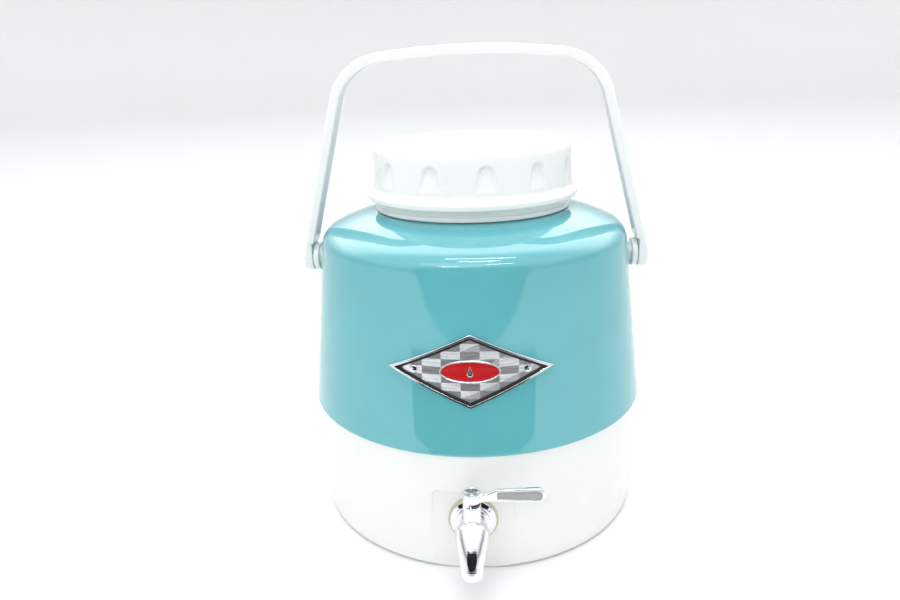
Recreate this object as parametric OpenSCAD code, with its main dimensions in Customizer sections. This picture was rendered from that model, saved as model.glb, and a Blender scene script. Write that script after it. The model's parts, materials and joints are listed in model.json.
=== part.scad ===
// Insulated drinks jug with a painted steel shell, a screw lid, a bail handle
// and a quarter-turn tap. Millimetres, +Z up, origin at the centre of the foot.
// The tap points along -Y and the handle turns about an axis along X.

/* [Steel shell] */
// Radius of the shell at its lower edge
belt_r = 117.5; // [112:0.5:122]
// Height of the shell's lower edge above the floor
belt_z = 82; // [78:1:86]
// Lean of the shell's side from the vertical, in degrees
side_lean = 6.5; // [6:0.1:7]
// Radius of the shoulder's corner
corner_r = 14; // [12:1:16]
// Radius of the domed top
dome_r = 130; // [120:5:140]
// Thickness of the steel sheet
sheet = 0.8; // [0.6:0.1:1]

/* [Base] */
// Outer radius of the base under the shell
base_r = 115.5; // [114:0.5:116]
// Outer radius of the base at its foot
foot_r = 114.3; // [113:0.1:114.4]
// Thickness of the base's wall
base_wall = 3; // [2.5:0.1:3.5]

/* [Liner] */
// Inner radius of the filling mouth
mouth_r = 53.3; // [50:0.1:53.5]
// Height of the mouth's rim above the floor
rim_z = 243; // [242:0.5:243]
// Thickness of the liner's wall
liner_wall = 2.5; // [2:0.1:3]

/* [Lid] */
// Height of the lid's top above the floor
lid_top = 257.5; // [257:0.5:260]
// Outer radius of the lid's flared lip
lip_r = 71.3; // [70:0.1:72]
// Number of finger scoops around the lid
scoop_count = 12; // [8:1:14]
// Turn of the first scoop from the front, in degrees
scoop_phase = 9; // [0:1:29]
// Height that the lid rises in one turn
thread_lead = 12; // [12]

/* [Handle] */
// Half width of the handle over its ears
handle_half = 120.3; // [120:0.1:121]
// Height of the handle's pivot above the floor
pivot_z = 177; // [175:1:179]
// Height of the top of the raised handle
handle_top = 317; // [315:1:325]
// Width of the handle's strap
strap_w = 20; // [18:0.5:21]
// Thickness of the handle's strap
strap_t = 6; // [5.5:0.1:6.5]

/* [Tap] */
// Height of the tap's shank above the floor
tap_z = 36.2; // [35:0.1:38]
// Distance from the jug's axis to the valve's axis
valve_reach = 129.5; // [129:0.5:132]
// Reach of the lever from the valve's axis
lever_reach = 42.6; // [38:0.1:46]
// Radius of the valve's plug
plug_r = 4; // [3.8:0.1:4.1]

/* [Badge] */
// Width of the badge from tip to tip
badge_w = 97.4; // [90:0.2:100]
// Height of the badge from tip to tip
badge_h = 44; // [40:0.5:46]
// Height of the badge's centre above the floor
badge_z = 135.2; // [130:0.1:138]

/* [Hidden] */
$fn = 72;

turquoise = [0.36, 0.72, 0.77];
white = [0.95, 0.95, 0.94];
ivory = [0.86, 0.83, 0.7];
steel = [0.72, 0.73, 0.75];
bright = [0.85, 0.86, 0.88];
rubber = [0.2, 0.2, 0.2];
gap = 0.1;      // clearance between pieces that are fixed together
slack = 0.3;    // clearance between pieces that move
run = 0.05;     // radial clearance of a running fit

// ---- shell curve ----
shoulder_z = belt_z + 107.2;
dome_start = 65;    // direction of the corner's normal where the dome begins
corner_c = [shell_r(shoulder_z + corner_r * sin(side_lean)) - corner_r * cos(side_lean), shoulder_z];
dome_c = corner_c + (corner_r - dome_r) * [cos(dome_start), sin(dome_start)];
neck_hole_r = 64;
hem_w = 3.1;

// ---- base ----
base_top = belt_z - 0.4;
spigot_r = belt_r - 3.6;    // collar of the base inside the shell
spigot_top = belt_z + 14;
floor_z = 6.5;
plug_hole_r = 9;
panel_y = -111.6;       // flat panel behind the tap
panel_z = 56.4;
panel_half = 25;
panel_foot_half = 28;

// ---- liner ----
liner_z = 18;
liner_low_r = 100;
liner_top_r = 92;
liner_shoulder = 186;
neck_base_z = 207;
neck_r = mouth_r + 3;       // root of the male thread
thread_h = 2.2;
thread_clear = 0.6;
crest_r = neck_r + thread_h;
boss_r = 17;
boss_y = -94;       // inner face of the liner's tap boss

// ---- lid ----
lip_z = 219.7;
lid_side_r = 66.1;      // side of the lid at its top
lid_foot_r = 67.6;      // side of the lid above its lip
lid_wall = 2.6;
lid_bore_r = 61.6;
skirt_out = lid_bore_r - gap;
skirt_in = crest_r + thread_clear;
skirt_z = 220.6;
lid_plate_z = rim_z + 1.6;
lid_plate_t = 2.4;
scoop_top = 247;
scoop_low = 231;
scoop_depth = 3;

// ---- handle ----
arm_lean = atan(0.26);
bar_slope = 7;      // slope of the bar's arc at its ends
bar_r = 470;
arm_bend_z = pivot_z + 3;
ear_r = strap_w / 2;
ear_face = 113.6;       // inner face of each ear
ear_pad_top = pivot_z + 10.6;
channel_low = 193;
channel_web = 2;
channel_w = strap_w - 4.4;
spindle_r = 5;
pedestal_r = 9.8;
pedestal_in = 109.3;
pedestal_out = ear_face - 0.4;
screw_seat = 118.7;     // end of the pivot spindle
recess_floor = screw_seat - slack;
recess_r = 7.2;
stem_r = 7;
plate_out = 103.7;
plate_t = 1.7;
nut_in = 98.5;

// ---- tap ----
washer_t = 1.5;
escutcheon_t = 2.6;
washer_y = panel_y - washer_t;
escutcheon_y = washer_y - escutcheon_t;
shank_r = 8;
shank_end = -82;
nut_r = 12.4;       // to the nut's corners
nut_washer_r = 12.6;
column_r = 8;
bonnet_r = 5.4;
bonnet_top = tap_z + 22.1;
mouth_bore = 5;     // radius of the spout's mouth
mouth_len = 4;
water_r = 3.6;
port_r = 2.8;       // radius of the hole across the plug
chamber_r = plug_r + run;
chamber_low = tap_z - 8.5;
// The spout's rings: how far forward of the valve's axis, height above the shank's axis, radius,
// and how many degrees the ring leans back from upright
spout_rings = [
    [3.5, 3.3, 10.1, 58], [6, 1.7, 9.9, 57], [8.4, 0.2, 9.4, 56], [11.2, -1.7, 8.6, 51], [13, -3.1, 8.1, 47],
    [14.4, -4.4, 7.6, 43], [15.7, -6, 7.2, 36], [16.8, -7.7, 6.9, 30], [17.7, -9.3, 6.7, 22], [18.3, -10.8, 6.5, 14],
    [18.6, -12.2, 6.4, 0], [18.6, -12.8, 6.3, 0], [18.6, -13.2, 5.9, 0]
];
ball_r = 10.2;
mouth_at = [spout_rings[12][0], spout_rings[12][1]];
elbow_y = 9;        // forward of the valve's axis, where the water turns down
hub_z = bonnet_top + slack;
hub_top = bonnet_top + 8.3;
hub_r = 5.4;
hub_top_r = 5.8;
cup_r = 4.5;
cup_z = hub_top - 2.2;
socket_half = 2.6;
socket_top = hub_z + 3.6;
lever_t = 2.8;
ring_r = 3.2;
ring_z = [tap_z + 9, tap_z + 15];
insert_depth = 0.7;

// ---- badge ----
rivet_x = 33;
frame_w = [3.2, 1.45];       // half-width and half-height that the frame takes off
border_w = [7.2, 3.25];

// ==== helpers ====
function shell_r(z) = belt_r - tan(side_lean) * (z - belt_z);
function reversed(p) = [for (i = [len(p) - 1:-1:0]) p[i]];
function unit(v) = v / norm(v);
function arc(c, r, a0, a1, n) = [
    for (i = [0:n])
        let (a = a0 + (a1 - a0) * i / n)
        c + r * [cos(a), sin(a)]
];

// The shell's outline at a depth below its outer face, from the hem to radius r_end
function shell_curve(depth, z0, r_end) = concat(
    [[shell_r(z0) - depth / cos(side_lean), z0]],
    arc(corner_c, corner_r - depth, side_lean, dome_start, 8),
    arc(dome_c, dome_r - depth, dome_start, acos((r_end - dome_c[0]) / (dome_r - depth)), 5)
);

// One rounded corner b between a and c, as points of an arc of radius r
function corner(a, b, c, r) =
    let (
        u = unit(a - b),
        v = unit(c - b),
        half = acos(max(-1, min(1, u * v))) / 2,
        mid = unit(u + v),
        centre = b + mid * r / sin(half),
        from = b + u * r / tan(half) - centre,
        a0 = atan2(from[1], from[0]),
        turn = (u[0] * v[1] - u[1] * v[0] > 0 ? -1 : 1) * (180 - 2 * half),
        n = max(3, ceil(abs(turn) / (r > 100 ? 2 : 11)))
    )
    [for (i = [0:n]) centre + r * [cos(a0 + turn * i / n), sin(a0 + turn * i / n)]];

// A closed outline whose corners are [x, y, radius]
function rounded(p) = [
    for (i = [0:len(p) - 1])
        let (
            a = p[(i + len(p) - 1) % len(p)],
            b = p[i],
            c = p[(i + 1) % len(p)]
        )
        each (b[2] > 0
            ? corner([a[0], a[1]], [b[0], b[1]], [c[0], c[1]], b[2])
            : [[b[0], b[1]]])
];

// A turned piece about the jug's axis
module turned(p) {
    rotate_extrude()
        polygon(rounded(p));
}

// A turned piece about an axis along X, from x = 0 outwards
module turned_x(p) {
    rotate([0, 90, 0])
        turned(p);
}

// A turned piece about an axis along -Y
module turned_y(p) {
    rotate([90, 0, 0])
        turned(p);
}

// A cylinder along Y between two places
module rod_y(r, y0, y1) {
    translate([0, y1, 0])
        rotate([90, 0, 0])
            cylinder(r = r, h = y1 - y0);
}

// A cylinder along X between two places
module rod_x(r, x0, x1) {
    translate([x0, 0, 0])
        rotate([0, 90, 0])
            cylinder(r = r, h = x1 - x0);
}

// An outline drawn in the XZ plane and extruded along Y
module slab_y(y0, y1) {
    translate([0, y1, 0])
        rotate([90, 0, 0])
            linear_extrude(height = y1 - y0)
                children();
}

// One thread ridge of a given rise; the crest lies inwards where crest < root
module ridge(root, crest, z0, turns, start) {
    steps = round(turns * 60);
    root_w = 3.2;
    crest_w = 1.4;
    rings = [
        for (i = [0:steps])
            let (
                a = start + 360 * turns * i / steps,
                z = z0 + thread_lead * turns * i / steps,
                full = min(1, 0.15 + min(i, steps - i) / 5),
                r = root + (crest - root) * full,
                w0 = root_w / 2,
                w1 = crest_w / 2
            )
            [
                [root * cos(a), root * sin(a), z - w0],
                [r * cos(a), r * sin(a), z - w1],
                [r * cos(a), r * sin(a), z + w1],
                [root * cos(a), root * sin(a), z + w0]
            ]
    ];
    points = [for (ring = rings) each ring];
    outward = crest > root;
    sides = [
        for (i = [0:steps - 1], j = [0:3])
            let (
                k = (j + 1) % 4,
                quad = [4 * i + j, 4 * i + k, 4 * i + 4 + k, 4 * i + 4 + j]
            )
            outward ? quad : reversed(quad)
    ];
    first = [0, 1, 2, 3];
    last = [for (j = [0:3]) 4 * steps + j];
    ends = outward ? [reversed(first), last] : [first, reversed(last)];
    polyhedron(points = points, faces = concat(sides, ends), convexity = 10);
}

// ==== base ====
module base_outline() {
    polygon(concat(
        [[0, 0]],
        corner([0, 0], [foot_r, 0], [base_r, base_top], 4),
        [[base_r, base_top], [0, base_top]]
    ));
}

module base_tub() {
    inner = base_wall;
    color(white)
        difference() {
            union() {
                turned([
                    [0, floor_z - 3, 0], [97, floor_z - 3, 1], [100, 0, 0.6], [foot_r, 0, 4],
                    [base_r, base_top, 0], [spigot_r, base_top, 0], [spigot_r, spigot_top, 0.8],
                    [spigot_r - inner, spigot_top, 0.8], [spigot_r - inner, base_top - 4, 3],
                    [base_r - inner - 0.4, base_top - 10, 3], [foot_r - inner, floor_z, 4],
                    [0, floor_z, 0]
                ]);
                intersection() {
                    translate([-31, panel_y - 5, floor_z - 1])
                        cube([62, base_wall + 5, panel_z + 5 - floor_z]);
                    rotate_extrude()
                        base_outline();
                }
            }
            slab_y(-belt_r - 5, panel_y)
                polygon(rounded([
                    [-panel_foot_half, -1, 0], [panel_foot_half, -1, 0],
                    [panel_half, panel_z, 3.3], [-panel_half, panel_z, 3.3]
                ]));
            translate([0, 0, tap_z])
                rod_y(shank_r + slack, -belt_r, -100);
            translate([0, 0, -1])
                cylinder(r = plug_hole_r, h = floor_z + 3);
        }
}

module base_plug() {
    color(white)
        turned([
            [0, 0, 0], [12, 0, 0.6], [12, floor_z - 3 - gap, 0], [plug_hole_r - gap, floor_z - 3 - gap, 0],
            [plug_hole_r - gap, floor_z, 0.8], [0, floor_z, 0]
        ]);
}

// ==== steel shell ====
module belt_shell() {
    z0 = belt_z + 0.6;
    color(turquoise)
        difference() {
            rotate_extrude()
                polygon(concat(
                    [[belt_r - hem_w, belt_z], [belt_r - 0.7, belt_z], [belt_r - 0.2, belt_z + 0.15]],
                    shell_curve(0, z0, neck_hole_r),
                    reversed(shell_curve(sheet, belt_z + sheet, neck_hole_r)),
                    [[belt_r - hem_w, belt_z + sheet]]
                ));
            for (side = [-1, 1])
                translate([0, 0, pivot_z])
                    scale([side, 1, 1])
                        rod_x(stem_r + slack, 95, belt_r);
            for (side = [-1, 1])
                rivet_place(side)
                    cylinder(r = 1.5, h = 8, center = true);
        }
}

module neck_collar() {
    foot = 212.4;
    color(white)
        turned([
            [neck_r + 0.2, 209.2, 0.4], [neck_hole_r - 0.4, 209.2, 0.4], [neck_hole_r - 0.4, foot, 0],
            [66.3, foot, 0.8], [66.3, foot + 2.6, 0.9], [65.2, foot + 3.4, 0.4],
            [65.2, lip_z - 0.4, 0.7], [neck_r + 0.2, lip_z - 0.4, 0.4]
        ]);
}

// ==== liner and insulation ====
module liner_outline(grow) {
    polygon(rounded([
        [0, liner_z - grow, 0], [liner_low_r + grow, liner_z - grow, 12], [liner_top_r + grow, liner_shoulder, 14],
        [neck_r + grow, neck_base_z + grow, 0], [neck_r + grow, rim_z + 10, 0], [0, rim_z + 10, 0]
    ]));
}

module inner_liner() {
    t = liner_wall;
    color(white)
        difference() {
            union() {
                turned([
                    [0, liner_z, 0], [liner_low_r, liner_z, 12], [liner_top_r, liner_shoulder, 14],
                    [neck_r, neck_base_z, 0], [neck_r, rim_z, 1], [mouth_r, rim_z, 1],
                    [mouth_r, neck_base_z - 1.4, 3], [liner_top_r - t, liner_shoulder - 1.5, 12],
                    [liner_low_r - t, liner_z + t, 10], [0, liner_z + t, 0]
                ]);
                translate([0, 0, tap_z])
                    rod_y(boss_r, -liner_low_r - 0.6, boss_y);
                for (start = [0, 180])
                    ridge(neck_r - 0.5, crest_r, 224.5, 1.1, start);
            }
            translate([0, 0, tap_z])
                rod_y(shank_r + gap, -belt_r, -80);
        }
}

module insulation_foam() {
    color([0.93, 0.9, 0.75])
        difference() {
            rotate_extrude()
                polygon(concat(
                    [[0, floor_z + gap], [104, floor_z + gap], [108.4, 14], [108.4, base_top - 9],
                     [spigot_r - base_wall - gap, base_top - 2], [spigot_r - base_wall - gap, spigot_top + gap]],
                    shell_curve(sheet + gap, spigot_top + gap, neck_hole_r + 0.4),
                    [[neck_hole_r + 0.4, 208.6], [0, 208.6]]
                ));
            rotate_extrude()
                liner_outline(gap);
            translate([-31.5, -115, 0])
                cube([63, 115 + panel_y + base_wall + 0.3, panel_z + 5]);
            translate([0, 0, tap_z])
                rod_y(12, -115, -95);
            translate([0, 0, tap_z])
                rod_y(boss_r + gap, -liner_low_r - 0.6 - gap, boss_y);
            for (side = [-1, 1])
                translate([0, 0, pivot_z])
                    scale([side, 1, 1]) {
                        rod_x(stem_r + gap, plate_out, belt_r);
                        rod_x(spindle_r + gap, nut_in - gap, belt_r);
                        translate([plate_out - plate_t - gap, -11 - gap, -14 - gap])
                            cube([plate_t + 2 * gap, 22 + 2 * gap, 28 + 2 * gap]);
                    }
        }
}

// ==== handle pivots ====
module pivot_base() {
    color(white)
        translate([0, 0, pivot_z])
            difference() {
                turned_x([
                    [0, plate_out, 0], [stem_r, plate_out, 0.3], [stem_r, pedestal_in, 0],
                    [pedestal_r, pedestal_in, 0.8], [pedestal_r, pedestal_out, 0.8],
                    [spindle_r, pedestal_out, 0], [spindle_r, screw_seat, 0.4], [0, screw_seat, 0]
                ]);
                rod_x(2 + gap, 90, 125);
            }
}

module pivot_screw() {
    color(steel)
        translate([0, 0, pivot_z])
            difference() {
                turned_x([
                    [0, nut_in, 0], [2, nut_in, 0.4], [2, screw_seat, 0],
                    [6.6, screw_seat, 0.2], [6.6, screw_seat + 0.8, 0.7], [0, screw_seat + 1.5, 0]
                ]);
                for (turn = [0, 90])
                    rotate([turn, 0, 0])
                        translate([screw_seat + 0.5, -0.45, -2.6])
                            cube([3, 0.9, 5.2]);
            }
}

module pivot_plate() {
    color(steel)
        translate([0, 0, pivot_z])
            difference() {
                union() {
                    translate([plate_out - plate_t - gap, -11, -14])
                        cube([plate_t, 22, 28]);
                    rod_x(spindle_r, nut_in, plate_out - gap - 0.1);
                }
                rod_x(2 + gap, 90, 125);
            }
}

module pivot_base_left() { mirror([1, 0, 0]) pivot_base(); }
module pivot_base_right() { pivot_base(); }
module pivot_screw_left() { mirror([1, 0, 0]) pivot_screw(); }
module pivot_screw_right() { pivot_screw(); }
module pivot_plate_left() { mirror([1, 0, 0]) pivot_plate(); }
module pivot_plate_right() { pivot_plate(); }

// ==== badge ====
// A skin over the shell's side, between two heights above its face
module skin(low, high) {
    z0 = badge_z - badge_h / 2 - 3;
    z1 = badge_z + badge_h / 2 + 3;
    l = low / cos(side_lean);
    h = high / cos(side_lean);
    rotate_extrude()
        polygon([
            [shell_r(z0) + l, z0], [shell_r(z0) + h, z0],
            [shell_r(z1) + h, z1], [shell_r(z1) + l, z1]
        ]);
}

module rhombus(trim) {
    w = badge_w / 2 - trim[0];
    h = badge_h / 2 - trim[1];
    polygon([[-w, badge_z], [0, badge_z - h], [w, badge_z], [0, badge_z + h]]);
}

// Turns a piece drawn along +Z at the origin outwards from the shell's face at one rivet
module rivet_place(side) {
    face = shell_r(badge_z);
    rotate([0, 0, side * asin(rivet_x / face)])
        translate([0, -face, badge_z])
            rotate([90 - side_lean, 0, 0])
                children();
}

module on_badge(low, high) {
    intersection() {
        skin(low, high);
        slab_y(-belt_r - 6, -60)
            children();
    }
}

module badge_plate() {
    color(steel)
        difference() {
            on_badge(gap, 0.9)
                rhombus(frame_w + [0.25, 0.1]);
            for (side = [-1, 1])
                rivet_place(side)
                    cylinder(r = 1.45, h = 8, center = true);
        }
}

module badge_frame() {
    color(bright)
        on_badge(gap, 2.3)
            difference() {
                rhombus([0, 0]);
                rhombus(frame_w);
            }
}

module badge_border() {
    color([0.05, 0.05, 0.05])
        on_badge(1, 2.1)
            difference() {
                rhombus(frame_w + [0.25, 0.1]);
                rhombus(border_w);
            }
}

module oval(a, b) {
    translate([0, badge_z])
        polygon([for (i = [0:47]) [a * cos(i * 7.5), b * sin(i * 7.5)]]);
}

module emblem_rim() {
    color(bright)
        on_badge(1, 2.2)
            difference() {
                oval(18, 7);
                oval(16.8, 5.8);
            }
}

module emblem_face() {
    color([0.72, 0.06, 0.08])
        on_badge(1, 1.8)
            oval(16.7, 5.7);
}

module emblem_drop() {
    drop_r = 1.9;
    color(bright)
        on_badge(1.9, 2.3)
            translate([0, badge_z - 1])
                polygon(concat(arc([0, 0], drop_r, 150, 390, 14), [[0, 5]]));
}

module badge_rivet(side) {
    color(bright)
        rivet_place(side)
            turned([
                [0, -sheet, 0], [1.35, -sheet, 0], [1.35, 1, 0], [2.6, 1, 0.1], [2.3, 1.8, 0.6], [0, 2.3, 0]
            ]);
}

module badge_rivet_left() { badge_rivet(-1); }
module badge_rivet_right() { badge_rivet(1); }

// ==== tap ====
module tap_washer_outer() {
    color(ivory)
        translate([0, 0, tap_z])
            difference() {
                turned_y([
                    [0, -panel_y + 0.02, 0], [15.4, -panel_y + 0.02, 0.4], [15.4, -washer_y, 0.4], [0, -washer_y, 0]
                ]);
                rod_y(shank_r + 0.2, -130, -100);
            }
}

module tap_escutcheon() {
    color(bright)
        translate([0, 0, tap_z])
            difference() {
                turned_y([
                    [0, -washer_y + 0.02, 0], [14.4, -washer_y + 0.02, 0.2], [14.4, -washer_y + 1.1, 1],
                    [11.2, -escutcheon_y, 2], [0, -escutcheon_y, 0]
                ]);
                rod_y(shank_r + 0.2, -130, -100);
            }
}

module tap_washer_inner() {
    color(rubber)
        translate([0, 0, tap_z])
            difference() {
                rod_y(nut_washer_r, boss_y + 0.02, boss_y + 2);
                rod_y(shank_r + gap, -130, -80);
            }
}

module tap_nut() {
    color(steel)
        translate([0, 0, tap_z])
            difference() {
                translate([0, boss_y + 8, 0])
                    rotate([90, 0, 0])
                        cylinder(r = nut_r, h = 5.9, $fn = 6);
                rod_y(shank_r + gap, -130, -80);
            }
}

module tap_sleeve() {
    color(white)
        translate([0, 0, tap_z])
            difference() {
                rod_y(11.8, panel_y + base_wall + gap, -liner_low_r - 0.6 - gap);
                rod_y(shank_r + 0.2, -130, -80);
            }
}

// Sector of a ring about the valve's axis, between two directions
module sector(r0, r1, z0, z1, a0, a1) {
    translate([0, 0, z0])
        linear_extrude(height = z1 - z0)
            polygon(concat(arc([0, 0], r0, a0, a1, 8), reversed(arc([0, 0], r1, a0, a1, 8))));
}

// The spout's outside: a ball about the valve, then rings that turn from forward to down
module spout_skin() {
    count = 40;
    lean = spout_rings[0][3];
    ball = [
        for (a = [75:-15:15])
            [
                spout_rings[0][0] - ball_r * sin(a) * sin(lean),
                spout_rings[0][1] + ball_r * sin(a) * cos(lean),
                ball_r * cos(a),
                lean
            ]
    ];
    rings = [
        for (s = concat(ball, spout_rings))
            [for (i = [0:count - 1])
                let (a = 360 * i / count)
                [
                    s[2] * sin(a),
                    -s[0] - s[2] * cos(a) * cos(s[3]),
                    s[1] + s[2] * cos(a) * sin(s[3])
                ]
            ]
    ];
    last = len(rings) - 1;
    sides = [
        for (j = [0:last - 1], i = [0:count - 1])
            let (
                k = (i + 1) % count,
                p = j * count,
                q = p + count
            )
            each [[p + i, p + k, q + i], [p + k, q + k, q + i]]
    ];
    top = [for (i = [count - 1:-1:0]) i];
    end = [for (i = [0:count - 1]) last * count + i];
    polyhedron(points = [for (ring = rings) each ring], faces = concat(sides, [top, end]), convexity = 6);
}

// The spout's waterway, from the end of the shank's bore to the mouth
module spout_way() {
    run_y = mouth_at[0] - elbow_y;
    drop = -mouth_at[1] - mouth_len + 1;
    translate([0, -elbow_y, 0]) {
        sphere(r = water_r + 0.1);
        rotate([atan2(run_y, -drop), 0, 0])
            cylinder(r = water_r, h = norm([run_y, drop]));
    }
    translate([0, -mouth_at[0], mouth_at[1] - 1])
        cylinder(r = mouth_bore, h = mouth_len + 1);
}

module tap_body() {
    color(bright)
        difference() {
            union() {
                translate([0, -valve_reach, 0]) {
                    turned([
                        [0, chamber_low - 3, 0], [column_r - 0.4, chamber_low - 3, 4], [column_r, tap_z, 20],
                        [column_r - 0.4, tap_z + 7.5, 3], [bonnet_r, tap_z + 11.5, 1.2], [bonnet_r, bonnet_top, 0.3],
                        [0, bonnet_top, 0]
                    ]);
                    translate([0, 0, tap_z])
                        spout_skin();
                    sector(plug_r + 2 * slack, bonnet_r - 0.15, bonnet_top - 1, bonnet_top + 2.2, -104, -92);
                }
                translate([0, 0, tap_z])
                    difference() {
                        turned_y([
                            [0, -shank_end, 0], [shank_r, -shank_end, 0.8], [shank_r, -escutcheon_y + gap, 0],
                            [10.6, -escutcheon_y + gap, 0.3], [10.6, -escutcheon_y + 1.6, 0.6],
                            [8.8, -escutcheon_y + 2.4, 0.6], [8.4, valve_reach - 3, 0], [0, valve_reach - 3, 0]
                        ]);
                        for (i = [0:10])
                            translate([0, shank_end - 2 - 1.5 * i, 0])
                                rotate([90, 0, 0])
                                    thread_groove();
                    }
            }
            translate([0, -valve_reach, 0]) {
                translate([0, 0, chamber_low])
                    cylinder(r = chamber_r, h = 60);
                translate([0, 0, tap_z])
                    spout_way();
            }
            translate([0, 0, tap_z])
                rod_y(water_r, -valve_reach - elbow_y, -80);
        }
}

// A shallow ring cut into the shank for one turn of its thread
module thread_groove() {
    rotate_extrude()
        polygon([[shank_r - 0.5, 0], [shank_r + 0.5, -0.6], [shank_r + 0.5, 0.6]]);
}

// The valve's plug, its seals and the lever turn together
module at_valve() {
    translate([0, -valve_reach, 0])
        children();
}

module tap_plug() {
    color(steel)
        at_valve()
            difference() {
                union() {
                    turned([
                        [0, chamber_low + slack, 0], [plug_r, chamber_low + slack, 0.3],
                        [plug_r, hub_z - gap, 0], [0, hub_z - gap, 0]
                    ]);
                    translate([-socket_half + gap, -socket_half + gap, hub_z - 1])
                        cube([2 * (socket_half - gap), 2 * (socket_half - gap), socket_top - gap - hub_z + 1]);
                }
                for (z = ring_z)
                    translate([0, 0, z])
                        difference() {
                            cylinder(r = plug_r + 1, h = 1.6, center = true);
                            cylinder(r = ring_r, h = 2, center = true);
                        }
                translate([0, 0, tap_z])
                    rod_x(port_r, -plug_r - 1, plug_r + 1);
                translate([0, 0, hub_z - 4])
                    cylinder(r = 1.7, h = 12);
            }
}

module plug_ring(z) {
    color(rubber)
        at_valve()
            translate([0, 0, z])
                turned([
                    [ring_r + 0.03, -0.7, 0], [plug_r + run / 2, -0.7, 0.35], [plug_r + run / 2, 0.7, 0.35],
                    [ring_r + 0.03, 0.7, 0]
                ]);
}

module plug_ring_lower() { plug_ring(ring_z[0]); }
module plug_ring_upper() { plug_ring(ring_z[1]); }

// Outline of the lever's paddle in the XZ plane, drawn in from its edge by trim
module paddle(trim) {
    root = 13.2;
    low = hub_top - 5.4;
    polygon(rounded([
        [root + trim * 0.6, low + trim, 2.6 - trim * 0.5], [lever_reach - trim, hub_top - 6.3 + trim, 4.4 - trim],
        [lever_reach - trim, hub_top + 3.5 - trim, 4.4 - trim], [root + trim * 0.6, hub_top + 2 - trim, 2.6 - trim * 0.5]
    ]));
}

module tap_lever() {
    color(bright)
        at_valve()
            difference() {
                union() {
                    turned([
                        [0, hub_z, 0], [hub_r, hub_z, 0.3], [hub_r + 0.1, hub_top - 1.6, 2], [hub_top_r, hub_top, 0.4],
                        [0, hub_top, 0]
                    ]);
                    slab_y(-lever_t / 2, lever_t / 2) {
                        paddle(0);
                        polygon([
                            [3, hub_z + 1.4], [6.2, hub_z + 0.9], [10, hub_top - 6.2], [16, hub_top - 5.3],
                            [18, hub_top + 1], [13.5, hub_top + 1.9], [10, hub_top + 0.7], [3, hub_top - 0.4]
                        ]);
                    }
                }
                translate([0, 0, cup_z])
                    cylinder(r = cup_r, h = 10);
                translate([-socket_half, -socket_half, hub_z - 1])
                    cube([2 * socket_half, 2 * socket_half, socket_top - hub_z + 1]);
                cylinder(r = 1.75, h = 100);
                sector(plug_r + slack, hub_r + 1, hub_z - 1, hub_z + 2.4, -108, 2);
                slab_y(-lever_t, -lever_t / 2 + insert_depth)
                    paddle(1.5);
            }
}

module lever_insert() {
    color([0.55, 0.56, 0.57])
        at_valve()
            slab_y(-lever_t / 2 + 0.15, -lever_t / 2 + insert_depth - 0.02)
                paddle(1.58);
}

module lever_screw() {
    color(steel)
        at_valve()
            difference() {
                turned([
                    [0, hub_z - 3, 0], [1.6, hub_z - 3, 0.4], [1.6, cup_z + 0.05, 0], [3.7, cup_z + 0.05, 0.2],
                    [3.7, cup_z + 0.9, 0.7], [0, cup_z + 1.9, 0]
                ]);
                for (turn = [45, 135])
                    rotate([0, 0, turn])
                        translate([-2.1, -0.4, cup_z + 0.9])
                            cube([4.2, 0.8, 3]);
            }
}

// ==== lid ====
// The floor of the finger scoops: a cone, deep at its top and level with the side below
module scoop_floor() {
    rotate_extrude()
        polygon([
            [0, scoop_low - 5], [lid_foot_r + 0.6, scoop_low - 5], [lid_foot_r, scoop_low + 1],
            [lid_side_r - scoop_depth + 0.6, scoop_top - 3], [lid_side_r - scoop_depth + 1.1, scoop_top + 4],
            [0, scoop_top + 4]
        ]);
}

module scoops() {
    difference() {
        for (i = [0:scoop_count - 1])
            rotate([0, 0, scoop_phase + i * 360 / scoop_count])
                slab_y(-lip_r - 5, -50)
                    polygon(rounded([
                        [-7.4, scoop_low, 1], [7.4, scoop_low, 1], [6.4, scoop_top, 5.6], [-6.4, scoop_top, 5.6]
                    ]));
        scoop_floor();
    }
}

module lid_shell() {
    color(white)
        difference() {
            turned([
                [0, lid_top, 0], [lid_side_r, lid_top, 8.5], [lid_foot_r, 227.5, 6], [lip_r, lip_z + 3.6, 1.4],
                [lip_r, lip_z, 1.5], [68, lip_z, 0.6], [67, lip_z + 0.6, 0.4], [lid_bore_r, lip_z + 0.6, 0.5],
                [lid_bore_r, lid_top - lid_wall, 3], [0, lid_top - lid_wall, 0]
            ]);
            scoops();
        }
}

module lid_inner() {
    color(white) {
        turned([
            [0, lid_plate_z, 0], [50.5, lid_plate_z, 0], [50.5, lid_plate_z - 3, 0.3], [52.3, lid_plate_z - 3, 0.3],
            [52.3, lid_plate_z, 0], [skirt_in, lid_plate_z, 0], [skirt_in, skirt_z, 0.4], [skirt_out, skirt_z, 0.4],
            [skirt_out, lid_plate_z + lid_plate_t, 0.5], [0, lid_plate_z + lid_plate_t, 0]
        ]);
        for (start = [0, 180])
            ridge(skirt_in + 0.5, skirt_in - thread_h, 224.5, 0.5, start + 90);
    }
}

module lid_foam() {
    color([0.93, 0.9, 0.75])
        translate([0, 0, lid_plate_z + lid_plate_t + gap])
            cylinder(r = skirt_out - 3, h = lid_top - lid_wall - gap - (lid_plate_z + lid_plate_t + gap));
}

module lid_gasket() {
    color([0.9, 0.9, 0.88])
        turned([
            [52.6, rim_z + slack, 0.3], [58.4, rim_z + slack, 0.3], [58.4, lid_plate_z - slack, 0.3],
            [52.6, lid_plate_z - slack, 0.3]
        ]);
}

// ==== handle ====
// Point where two lines meet, each given by a point and a direction
function meet(p, u, q, v) =
    let (t = ((q[0] - p[0]) * v[1] - (q[1] - p[1]) * v[0]) / (u[0] * v[1] - u[1] * v[0]))
    p + t * u;

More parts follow.
